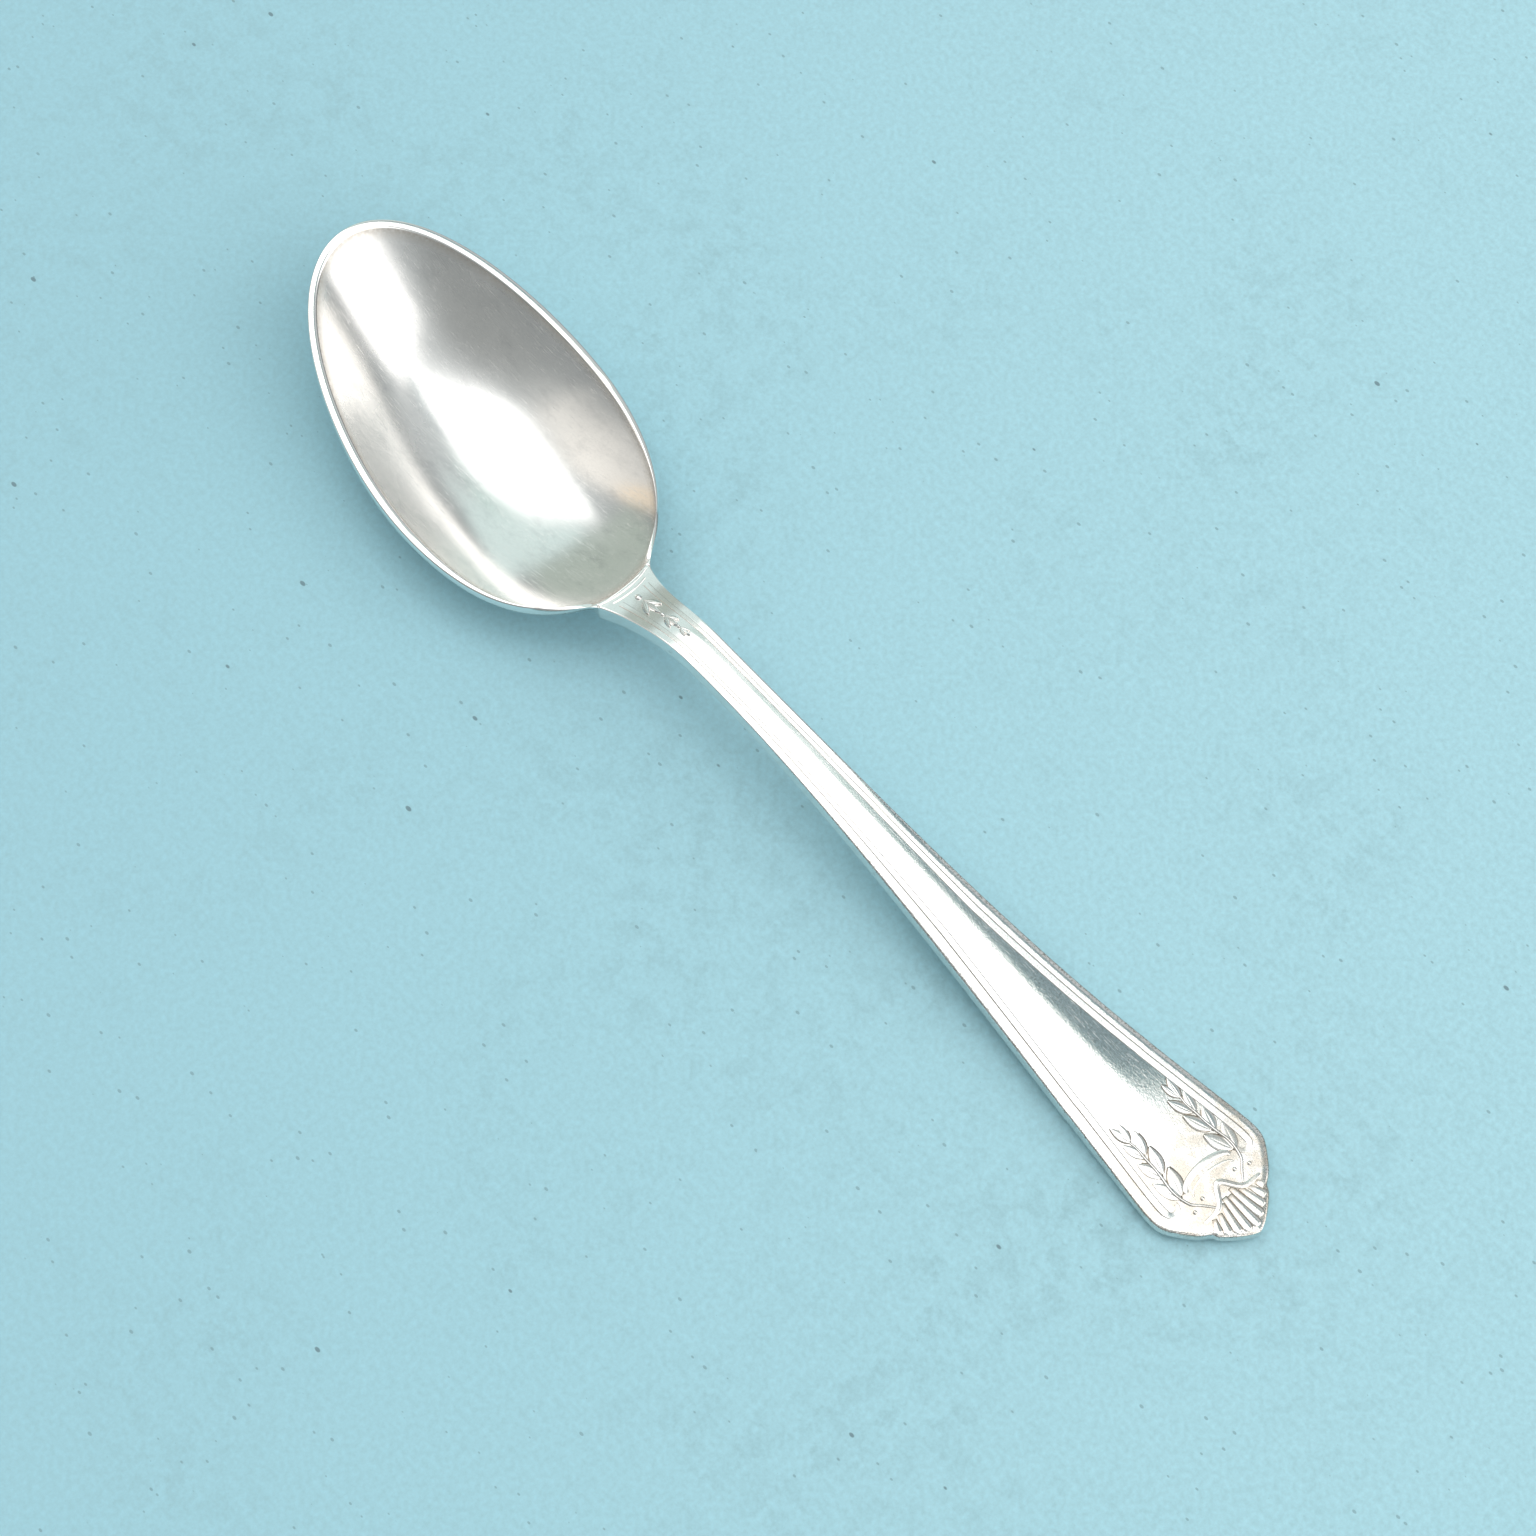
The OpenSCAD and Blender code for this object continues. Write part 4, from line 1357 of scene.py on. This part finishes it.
@dataclass
class Relief:
    """One struck ornament as lines, motifs and berries laid on the handle."""

    name: str
    ring: HandleRing
    lines: list[tuple[Array, Array]] = field(default_factory=list)
    motifs: list[Placement] = field(default_factory=list)
    berries: list[Placement] = field(default_factory=list)
    lift: float = 0.0
    bead_height: float = 0.8
    bead_cut: float = 1.0
    bead_sides: int = 20
    bead_step: float = 0.12
    # Heights between which the stain at the foot of the relief fades
    stain_z: tuple[float, float] = (0.006, 0.036)
    # Stations where the patina starts and is full, and its strength
    patina_x: tuple[float, float] = (130.0, 141.0)
    patina_share: float = 0.5

    def ground(self, x: Array, y: Array) -> Array:
        """Height of the handle's top face."""
        return self.ring.surface(np.asarray(x, float), np.asarray(y, float))[0]

    def line(self, points: Sequence[tuple[float, float]], radius: float, ends: float) -> None:
        """Adds a bead along a smooth line through points.

        Args:
            points: Points on the handle.
            radius: Half the width of the bead.
            ends: Share of the radius left at the two ends.
        """
        p = np.array(points, float)
        chord = np.concatenate([[0.0], np.cumsum(np.linalg.norm(np.diff(p, axis=0), axis=1))])
        s = np.linspace(0, chord[-1], max(4, int(chord[-1] / self.bead_step)))
        fine = np.column_stack([self.spline(chord, p[:, k], s) for k in (0, 1)])
        taper = ends + (1 - ends) * np.sin(math.pi * np.clip(s / chord[-1], 0.0, 1.0)) ** 0.5
        self.lines.append((fine, radius * taper))

    @staticmethod
    def spline(t: Array, values: Array, s: Array) -> Array:
        """Smooth values between given ones, by cubic pieces with matching slopes.

        Args:
            t: Places of the given values.
            values: The given values.
            s: Places of the wanted values.

        Returns:
            The wanted values.
        """
        if len(t) < 3:
            return np.interp(s, t, values)
        slope = np.gradient(values, t)
        k = np.clip(np.searchsorted(t, s) - 1, 0, len(t) - 2)
        h = t[k + 1] - t[k]
        u = (s - t[k]) / h
        v = 1 - u
        return (values[k] * v * v * (1 + 2 * u) + values[k + 1] * u * u * (1 + 2 * v)
                + h * u * v * (slope[k] * v - slope[k + 1] * u))

    def turn_of(self, place: Placement) -> tuple[float, float, float]:
        """Turn that lays a motif on the slope of the handle.

        Args:
            place: Place and heading of the motif.

        Returns:
            The angles about X, Y and Z.
        """
        x = np.array([place.x - 0.5, place.x + 0.5])
        z = self.ring.form.top_z(x)
        along = Vector((math.cos(place.heading), math.sin(place.heading), 0.0))
        normal = Vector((-(z[1] - z[0]), 2 * self.ring.crown * place.y, 1.0)).normalized()
        along = (along - normal * along.dot(normal)).normalized()
        side = normal.cross(along)
        return tuple(Matrix((along, side, normal)).transposed().to_euler("XYZ"))

    def layout(self) -> bpy.types.Mesh:
        """Points and lines that the tree reads.

        Returns:
            The mesh, with its values on the points.
        """
        form = self.ring.form
        points, edges, kinds, radii, turns, sizes = [], [], [], [], [], []
        for fine, radius in self.lines:
            z = self.ground(fine[:, 0], fine[:, 1]) + self.lift
            start = len(points)
            points += np.column_stack([fine, z]).tolist()
            edges += [(start + i, start + i + 1) for i in range(len(fine) - 1)]
            kinds += [Kind.LINE.value] * len(fine)
            radii += (radius * MM).tolist()
            turns += [(0.0, 0.0, 0.0)] * len(fine)
            sizes += [(1.0, 1.0, 1.0)] * len(fine)
        for kind, places in ((Kind.MOTIF, self.motifs), (Kind.BERRY, self.berries)):
            for place in places:
                z = float(self.ground(np.array([place.x]), np.array([place.y]))[0])
                points.append([place.x, place.y, z])
                kinds.append(kind.value)
                radii.append(0.0)
                turns.append(self.turn_of(place))
                sizes.append(tuple(v * MM for v in place.size))
        mesh = bpy.data.meshes.new(self.name)
        mesh.from_pydata(form.to_frame(np.array(points)).tolist(), edges, [])
        for name, kind, key, values in (("kind", "INT", "value", kinds),
                                        ("bead_radius", "FLOAT", "value", radii),
                                        ("turn", "FLOAT_VECTOR", "vector", turns),
                                        ("size", "FLOAT_VECTOR", "vector", sizes)):
            mesh.attributes.new(name, kind, "POINT").data.foreach_set(key, np.array(values).ravel())
        return mesh

    def build(self, tree: ReliefTree, shapes: dict[str, bpy.types.Object], motif: str,
              finish: bpy.types.Material) -> bpy.types.Object:
        """Builds the ornament as a plain mesh and paints its hollows.

        Args:
            tree: Geometry nodes that make the relief.
            shapes: Unit forms by name.
            motif: Name of the form that the motif points carry.
            finish: Material.

        Returns:
            The object.
        """
        obj = link_object(self.name, self.layout())
        tree.apply(obj, {"Motif": shapes[motif], "Berry": shapes["berry"], "Finish": finish,
                         "Bead Height": self.bead_height, "Bead Cut": self.bead_cut,
                         "Bead Sides": self.bead_sides})
        points = np.empty(len(obj.data.vertices) * 3)
        obj.data.vertices.foreach_get("co", points)
        p = points.reshape(-1, 3) / MM - np.array([-self.ring.form.length / 2, self.ring.form.mid_y, 0.0])
        height = p[:, 2] - self.ground(p[:, 0], p[:, 1])
        paint(obj.data, RECESS, 1 - smooth_step(height, *self.stain_z))
        paint(obj.data, PATINA, self.patina_share * smooth_step(p[:, 0], *self.patina_x))
        return obj


@dataclass
class Ornament:
    """The struck ornament: border threads, neck lines, husk drop, sprays, scroll and shell."""

    form: SpoonForm
    ring: HandleRing
    thread_r: float = 0.405
    curl_r: float = 0.75
    curl_thin: float = 0.55
    # First turn, last turn and step of the curl, in degrees
    curl_turn: tuple[int, int, int] = (90, -101, -8)
    thread_gap: float = 0.35
    thread_step: float = 0.2
    leaf_h: float = 0.06
    leaf_share: float = 1.12
    husk_h: float = 0.24
    berry_h: float = 0.2
    # Middle line of the end's ornament
    mid_y: float = 0.3
    # The shell's inner edge: its station, half length and half width, and its point's rise and half width
    shell_x: float = 145.6
    shell_half: float = 4.0
    shell_r: float = 0.36
    shell_point: float = 2.2
    shell_spread: float = 0.85
    # The flutes' root, number, half fan in radians, size and gaps to the inner edge, the end and the outline
    flute_root: float = 139.0
    flute_n: int = 9
    flute_fan: float = 0.42
    flute_l: float = 4.4
    flute_w: float = 0.98
    flute_h: float = 0.075
    flute_gaps: tuple[float, float, float] = (0.3, 0.3, 0.35)
    # Nearest and farthest place from the root and the step of the search for a flute's ends
    flute_reach: tuple[float, float, float] = (3.0, 12.0, 0.04)

    def thread(self, side: Side) -> Relief:
        """Border thread that ends in a curl.

        Args:
            side: Side of the handle.

        Returns:
            The thread's layout.
        """
        form, ring = self.form, self.ring
        relief = Relief(side.name.lower() + "_thread", ring, bead_height=0.25, bead_cut=0.62, bead_sides=64,
                        stain_z=(0.01, 0.055))
        curl_x = form.length - ring.curl_d
        reach = 1 + (ring.groove_w / 2 + ring.strip_w) / 2 / ring.thread_in
        x = np.arange(form.bowl_l + ring.border_from + self.thread_gap, curl_x, self.thread_step)
        y = form.half_w(x) - ring.thread_inset(x) * reach
        curl_y = float(form.half_w(np.array(curl_x))) - ring.thread_in * reach - self.curl_r
        centre = np.array([curl_x, curl_y])
        a = np.radians(np.arange(*self.curl_turn))
        arc = centre + self.curl_r * np.column_stack([np.cos(a), np.sin(a)])
        path = np.concatenate([np.column_stack([x, y]), arc])
        path[:, 1] *= side.value
        q = ring.thread_inset(path[:, 0]) / ring.thread_in
        q[len(x):] *= np.linspace(1.0, self.curl_thin, len(arc))
        relief.lines.append((path, self.thread_r * q))
        return relief

    def neck_band(self) -> Relief:
        """Two thin lines across the neck, bowed towards the handle.

        Returns:
            The lines' layout.
        """
        relief = Relief("neck_band", self.ring)
        # Distance past the bowl, bow, half length and half width of each line
        for x, bow, half, radius in ((0.32, 0.42, 2.95, 0.13), (1.0, 0.3, 2.3, 0.12)):
            y = np.linspace(-half, half, 31)
            line = np.column_stack([self.form.bowl_l + x - bow * (y / half) ** 2, y])
            relief.lines.append((line, np.full(len(y), radius)))
        return relief

    def husk_drop(self) -> Relief:
        """A bud and husks of three petals that hang one from the other along the neck.

        Returns:
            The drop's layout.
        """
        relief = Relief("husk_drop", self.ring, stain_z=(0.004, 0.016))
        start = self.form.bowl_l
        # Distance past the bowl, length, width and spread in degrees of each husk
        for x, long, wide, spread in ((3.1, 2.2, 0.78, 24.0), (6.6, 1.7, 0.62, 22.0), (9.0, 1.2, 0.42, 18.0)):
            for turn in (-spread, spread, 0.0):
                grow = 1.3 if turn == 0.0 else 1.0
                size = (long * grow, wide, self.husk_h)
                relief.motifs.append(Placement(start + x, 0.0, math.radians(turn), size))
        # Distance past the bowl and size of the bud and of the knops between the husks
        for x, d in ((2.2, 0.7), (6.1, 0.45), (8.7, 0.36)):
            relief.berries.append(Placement(start + x, 0.0, 0.0, (d * 1.3, d, self.husk_h)))
        return relief

    def spray(self, side: Side) -> Relief:
        """A laurel spray: a curved stem, paired leaves and berries at its foot.

        Args:
            side: Side of the handle.

        Returns:
            The spray's layout.
        """
        relief = Relief(side.name.lower() + "_spray", self.ring, lift=0.01)
        s, mid = side.value, self.mid_y
        stem = ((145.15, 2.0), (144.0, 2.95), (143.2, 3.7), (142.3, 4.0), (141.0, 4.15),
                (139.3, 3.9), (138.0, 3.75), (136.6, 3.7), (135.1, 3.6), (134.3, 3.7))
        relief.line([(x, s * y + mid) for x, y in stem], 0.19, ends=0.6)
        # Foot, tip and width of each leaf
        outer = ((142.2, 4.0, 139.0, 5.05, 1.35), (139.3, 3.85, 136.4, 4.75, 1.2),
                 (136.6, 3.7, 133.9, 4.5, 1.0), (134.4, 3.65, 131.8, 4.15, 0.85))
        inner = ((141.9, 3.75, 138.8, 2.55, 1.3), (138.95, 3.5, 135.9, 2.45, 1.15),
                 (136.3, 3.4, 133.7, 2.4, 1.0), (134.2, 3.55, 132.0, 3.15, 0.75))
        for x0, y0, x1, y1, wide in outer + inner:
            heading = math.atan2(s * (y1 - y0), x1 - x0)
            long = math.hypot(x1 - x0, y1 - y0)
            size = (long, self.leaf_share * wide, self.leaf_h)
            relief.motifs.append(Placement(x0, s * y0 + mid, heading, size))
        # Place and size of each berry
        for x, y, d in ((143.55, 2.35, 0.5), (144.1, 3.95, 0.5)):
            relief.berries.append(Placement(x, s * y + mid, 0.0, (d, d, self.berry_h)))
        return relief

    def scroll(self) -> Relief:
        """A double arched ribbon between the feet of the sprays.

        Returns:
            The ribbon's layout.
        """
        relief = Relief("scroll", self.ring, lift=0.01, bead_height=0.3)
        # Foot, rise, half span and half width of each arch
        for foot, rise, span, radius in ((142.1, 1.15, 3.15, 0.42), (142.95, 1.05, 2.9, 0.14)):
            a = np.linspace(-math.pi / 2, math.pi / 2, 13)
            arch = [(foot - rise * math.cos(t), span * math.sin(t) + self.mid_y) for t in a]
            relief.line(arch, radius, ends=0.55)
        return relief

    def shell_edge(self, y: Array) -> Array:
        """Station of the shell's inner edge, which rises to a point in the middle."""
        spread = 2 * self.shell_spread ** 2
        return self.shell_x - self.shell_point * np.exp(-((y - self.mid_y) ** 2) / spread)

    def shell_crest(self) -> Relief:
        """A shell of flutes that run from a pointed inner edge to the outline.

        Returns:
            The shell's layout.
        """
        relief = Relief("shell_crest", self.ring, lift=0.01, bead_height=0.3, stain_z=(0.004, 0.016))
        root = np.array([self.flute_root, self.mid_y])
        reach = np.arange(*self.flute_reach)
        to_edge, to_end, to_outline = self.flute_gaps
        for a in np.linspace(-self.flute_fan, self.flute_fan, self.flute_n):
            way = np.array([math.cos(a), math.sin(a)])
            p = root + reach[:, None] * way
            inside = (p[:, 0] > self.shell_edge(p[:, 1]) + to_edge) & (p[:, 0] < self.form.length - to_end)
            inside &= self.ring.edge_distance(p[:, 0], p[:, 1]) > to_outline
            if inside.sum() > 8:
                start, end = reach[inside][[0, -1]]
                start = max(start, end - self.flute_l)
                x, y = root + start * way
                size = (float(end - start), self.flute_w, self.flute_h)
                relief.motifs.append(Placement(float(x), float(y), float(a), size))
        y = np.linspace(-self.shell_half, self.shell_half, 33) + self.mid_y
        relief.line(list(zip(self.shell_edge(y), y)), self.shell_r, ends=0.4)
        return relief


@dataclass(frozen=True)
class SkyPanel:
    """A panel of the room between straight sides, in degrees to the right and away from straight above.

    Each side is the two parts of its outward direction, its distance and half the width of its soft edge.
    """

    sides: tuple[tuple[float, float, float, float], ...]
    colour: tuple[float, float, float]


@dataclass(frozen=True)
class SkySpot:
    """A soft round part of the room, in degrees to the right and away from straight above."""

    right: float
    away: float
    inner: float
    outer: float
    colour: tuple[float, float, float]


@dataclass
class Studio:
    """Camera, paper and the room of soft panels round them."""

    heading: float = math.radians(47.109)
    elevation: float = math.radians(64.0)
    distance: float = 0.470
    pixels_per_mm: float = 9.24
    target_px: tuple[float, float] = (775.5, 743.45)
    sensor: float = 36.0
    paper_side: float = 6.0
    paper_z: float = -0.00003
    room_colour: tuple[float, float, float] = (0.56, 0.60, 0.61)
    wall_colour: tuple[float, float, float] = (0.25, 0.275, 0.285)
    wall_from: float = 50.0
    wall_full: float = 78.0
    wall_shade: float = 0.5
    spots: tuple[SkySpot, ...] = (
        SkySpot(-62.0, 12.0, 12.0, 30.0, (1.02, 1.0, 0.95)),
        SkySpot(-40.0, -42.0, 16.0, 46.0, (0.31, 0.33, 0.33)),
        SkySpot(-8.0, 42.0, 6.0, 18.0, (0.55, 0.71, 0.68)),
        SkySpot(75.0, -50.0, 10.0, 40.0, (0.72, 0.68, 0.62)),
        SkySpot(-62.0, 32.0, 4.0, 12.0, (1.25, 1.05, 0.80)))
    panels: tuple[SkyPanel, ...] = (
        SkyPanel(((0.733, 0.681, 27.5, 2.0), (-0.733, -0.681, -20.0, 1.0), (-0.681, 0.733, 14.0, 4.0),
                  (0.681, -0.733, 14.0, 4.0)), (0.24, 0.33, 0.36)),
        SkyPanel(((-0.616, 0.788, 61.5, 2.5), (0.0, -1.0, -46.0, 5.0), (-1.0, 0.0, 34.0, 6.0),
                  (1.0, 0.0, 16.0, 9.0)), (0.72, 0.87, 0.86)),
        SkyPanel(((0.616, -0.788, -61.5, 2.5), (1.0, 0.0, -8.0, 8.0), (-1.0, 0.0, 56.0, 6.0)),
                 (0.44, 0.51, 0.465)),
        SkyPanel(((0.733, 0.681, 21.4, 0.8), (-1.0, 0.0, 38.0, 3.0), (0.0, 1.0, 44.0, 7.0),
                  (0.0, -1.0, 5.0, 4.0), (-0.75, -0.66, 27.0, 4.0)), (0.58, 0.74, 0.72)),
        SkyPanel(((0.733, 0.681, 19.6, 0.4), (-1.0, 0.0, 38.0, 3.0), (0.0, 1.0, 44.0, 7.0),
                  (0.0, -1.0, 5.0, 4.0), (-0.75, -0.66, 27.0, 4.0)), (2.0, 2.0, 2.0)),
        SkyPanel(((-0.8, 0.6, -22.0, 4.0), (0.25, 0.97, 24.0, 4.0), (-0.6, -0.8, 30.0, 8.0),
                  (0.8, -0.6, 76.0, 5.0)), (1.9, 1.9, 1.88)))

    @property
    def right(self) -> Vector:
        """Direction to the right of the image, along the table."""
        return Vector((math.cos(self.heading), math.sin(self.heading), 0.0))

    @property
    def away(self) -> Vector:
        """Direction away from the camera, along the table."""
        return Vector((-math.sin(self.heading), math.cos(self.heading), 0.0))

    def camera(self) -> None:
        """Sets the camera at the photograph's angle."""
        data = bpy.data.cameras.new("camera")
        data.sensor_width = self.sensor
        focal = self.pixels_per_mm * self.distance / MM
        data.lens = focal / IMAGE_SIDE * self.sensor
        data.shift_x = -(self.target_px[0] - IMAGE_SIDE / 2) / IMAGE_SIDE
        data.shift_y = (self.target_px[1] - IMAGE_SIDE / 2) / IMAGE_SIDE
        data.clip_start, data.clip_end = 0.01, 50.0
        camera = bpy.data.objects.new("camera", data)
        back = Vector((math.cos(self.elevation) * math.sin(self.heading),
                       -math.cos(self.elevation) * math.cos(self.heading), math.sin(self.elevation)))
        camera.location = back * self.distance
        camera.rotation_mode = "QUATERNION"
        camera.rotation_quaternion = (-back).to_track_quat("-Z", "Y")
        bpy.context.scene.collection.objects.link(camera)
        bpy.context.scene.camera = camera

    def sky_angles(self, bench: NodeBench) -> tuple[bpy.types.NodeSocket, ...]:
        """Angles of a direction to the right, away and altogether from straight above, in degrees.

        Args:
            bench: The world's nodes.

        Returns:
            The three angles.
        """
        way = bench.add("ShaderNodeTexCoord").outputs["Generated"]
        parts = [bench.dot(way, axis) for axis in (self.right, self.away, Vector((0.0, 0.0, 1.0)))]
        angle = bench.math("DEGREES", bench.math("ARCCOSINE", parts[2]))
        flat = bench.math("MAXIMUM", bench.length(*parts[:2]), 1e-6)
        scale = bench.math("DIVIDE", angle, flat)
        return bench.math("MULTIPLY", parts[0], scale), bench.math("MULTIPLY", parts[1], scale), angle

    def room(self) -> None:
        """Gives the world its walls, paler and darker spots and panels."""
        world = bpy.data.worlds.new("room")
        bpy.context.scene.world = world
        bench = NodeBench.fresh(world)
        right, away, angle = self.sky_angles(bench)
        low = bench.ramp(angle, self.wall_from, self.wall_full)
        colour = bench.blend(low, (*self.room_colour, 1.0), (*self.wall_colour, 1.0))
        for spot in self.spots:
            apart = bench.length(bench.math("SUBTRACT", right, spot.right),
                                 bench.math("SUBTRACT", away, spot.away))
            colour = bench.blend(bench.ramp(apart, spot.outer, spot.inner), colour, (*spot.colour, 1.0))
        colour = bench.blend(bench.math("MULTIPLY", low, self.wall_shade), colour, (*self.wall_colour, 1.0))
        for panel in self.panels:
            share: Any = 1.0
            for to_right, to_away, limit, soft in panel.sides:
                reach = bench.math("ADD", bench.math("MULTIPLY", right, to_right),
                                   bench.math("MULTIPLY", away, to_away))
                share = bench.math("MULTIPLY", share, bench.ramp(reach, limit + soft, limit - soft))
            colour = bench.blend(share, colour, (*panel.colour, 1.0))
        back = bench.add("ShaderNodeBackground", {"Color": colour, "Strength": 1.0})
        bench.add("ShaderNodeOutputWorld", {"Surface": back.outputs[0]})

    def paper(self) -> None:
        """Lays the paper that the spoon rests on."""
        h, z = self.paper_side / 2, self.paper_z
        corners = np.array([(-h, -h, z), (h, -h, z), (h, h, z), (-h, h, z)])
        mesh = plain_mesh("paper", corners, [(0, 1, 2, 3)])
        mesh.materials.append(PaperFinish().material())
        link_object("paper", mesh)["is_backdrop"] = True

    def build(self) -> None:
        """Sets the whole stage."""
        bpy.context.scene.view_settings.view_transform = "Standard"
        self.camera()
        self.paper()
        self.room()


def dress_skins(form: SpoonForm, skins: Sequence[Skin], finish: bpy.types.Material) -> list[bpy.types.Object]:
    """Makes objects of the cut skin, with shading that runs on across the cuts.

    Args:
        form: Shape of the spoon.
        skins: Pieces of the skin.
        finish: Material.

    Returns:
        The objects.
    """
    normals = shared_normals(skins)
    objects = []
    for skin in skins:
        mesh = plain_mesh(skin.name, form.to_frame(skin.points), skin.faces + skin.caps)
        at_vertex = np.array([normals[k] for k in map(tuple, np.round(skin.points * 1e4).astype(int))])
        corners = np.empty(len(mesh.loops), int)
        mesh.loops.foreach_get("vertex_index", corners)
        at_corner = at_vertex[corners]
        for poly in mesh.polygons[len(skin.faces):]:
            at_corner[poly.loop_start:poly.loop_start + poly.loop_total] = poly.normal
        mesh.normals_split_custom_set(at_corner.tolist())
        for name, values in skin.marks.items():
            paint(mesh, name, values)
        mesh.materials.append(finish)
        objects.append(link_object(skin.name + "_skin", mesh))
    return objects


def settle(obj: bpy.types.Object, node: str) -> None:
    """Rides a piece on the spoon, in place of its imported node.

    Args:
        obj: The piece.
        node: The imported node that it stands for.
    """
    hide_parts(node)
    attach(obj, BODY)
    LOG.info("%s stands for %s: %d faces", obj.name, node, len(obj.data.polygons))


def main() -> None:
    """Builds the spoon and its stage in order."""
    logging.basicConfig(level=logging.INFO, format="%(name)s: %(message)s")
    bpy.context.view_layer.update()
    form = SpoonForm.from_frame()
    ring = HandleRing(form)
    wear = WearGroups()
    plate = SilverFinish("old_silver_plate").material(wear)
    struck = SilverFinish("struck_silver", rough=0.09, pit_depth=0.000002).material(wear)
    handle = Handle(form, ring)
    skins = [Bowl(form, ring).build()] + [handle.build(n, x) for n, x in handle.stretches().items()]
    for obj, skin in zip(dress_skins(form, skins, plate), skins):
        settle(obj, skin.name)
    shapes = MotifShapes()
    forms = {"leaf": shapes.leaf(), "flute": shapes.flute(), "berry": shapes.berry()}
    tree = ReliefTree()
    ornament = Ornament(form, ring)
    for relief, motif in ((ornament.thread(Side.LEFT), "leaf"), (ornament.thread(Side.RIGHT), "leaf"),
                          (ornament.neck_band(), "leaf"), (ornament.husk_drop(), "leaf"),
                          (ornament.spray(Side.LEFT), "leaf"), (ornament.spray(Side.RIGHT), "leaf"),
                          (ornament.scroll(), "leaf"), (ornament.shell_crest(), "flute")):
        node = relief.name
        relief.name = node + "_relief"
        settle(relief.build(tree, forms, motif, struck), node)
    for template in forms.values():
        bpy.data.objects.remove(template)
    Studio().build()


if __name__ == "__main__":
    main()
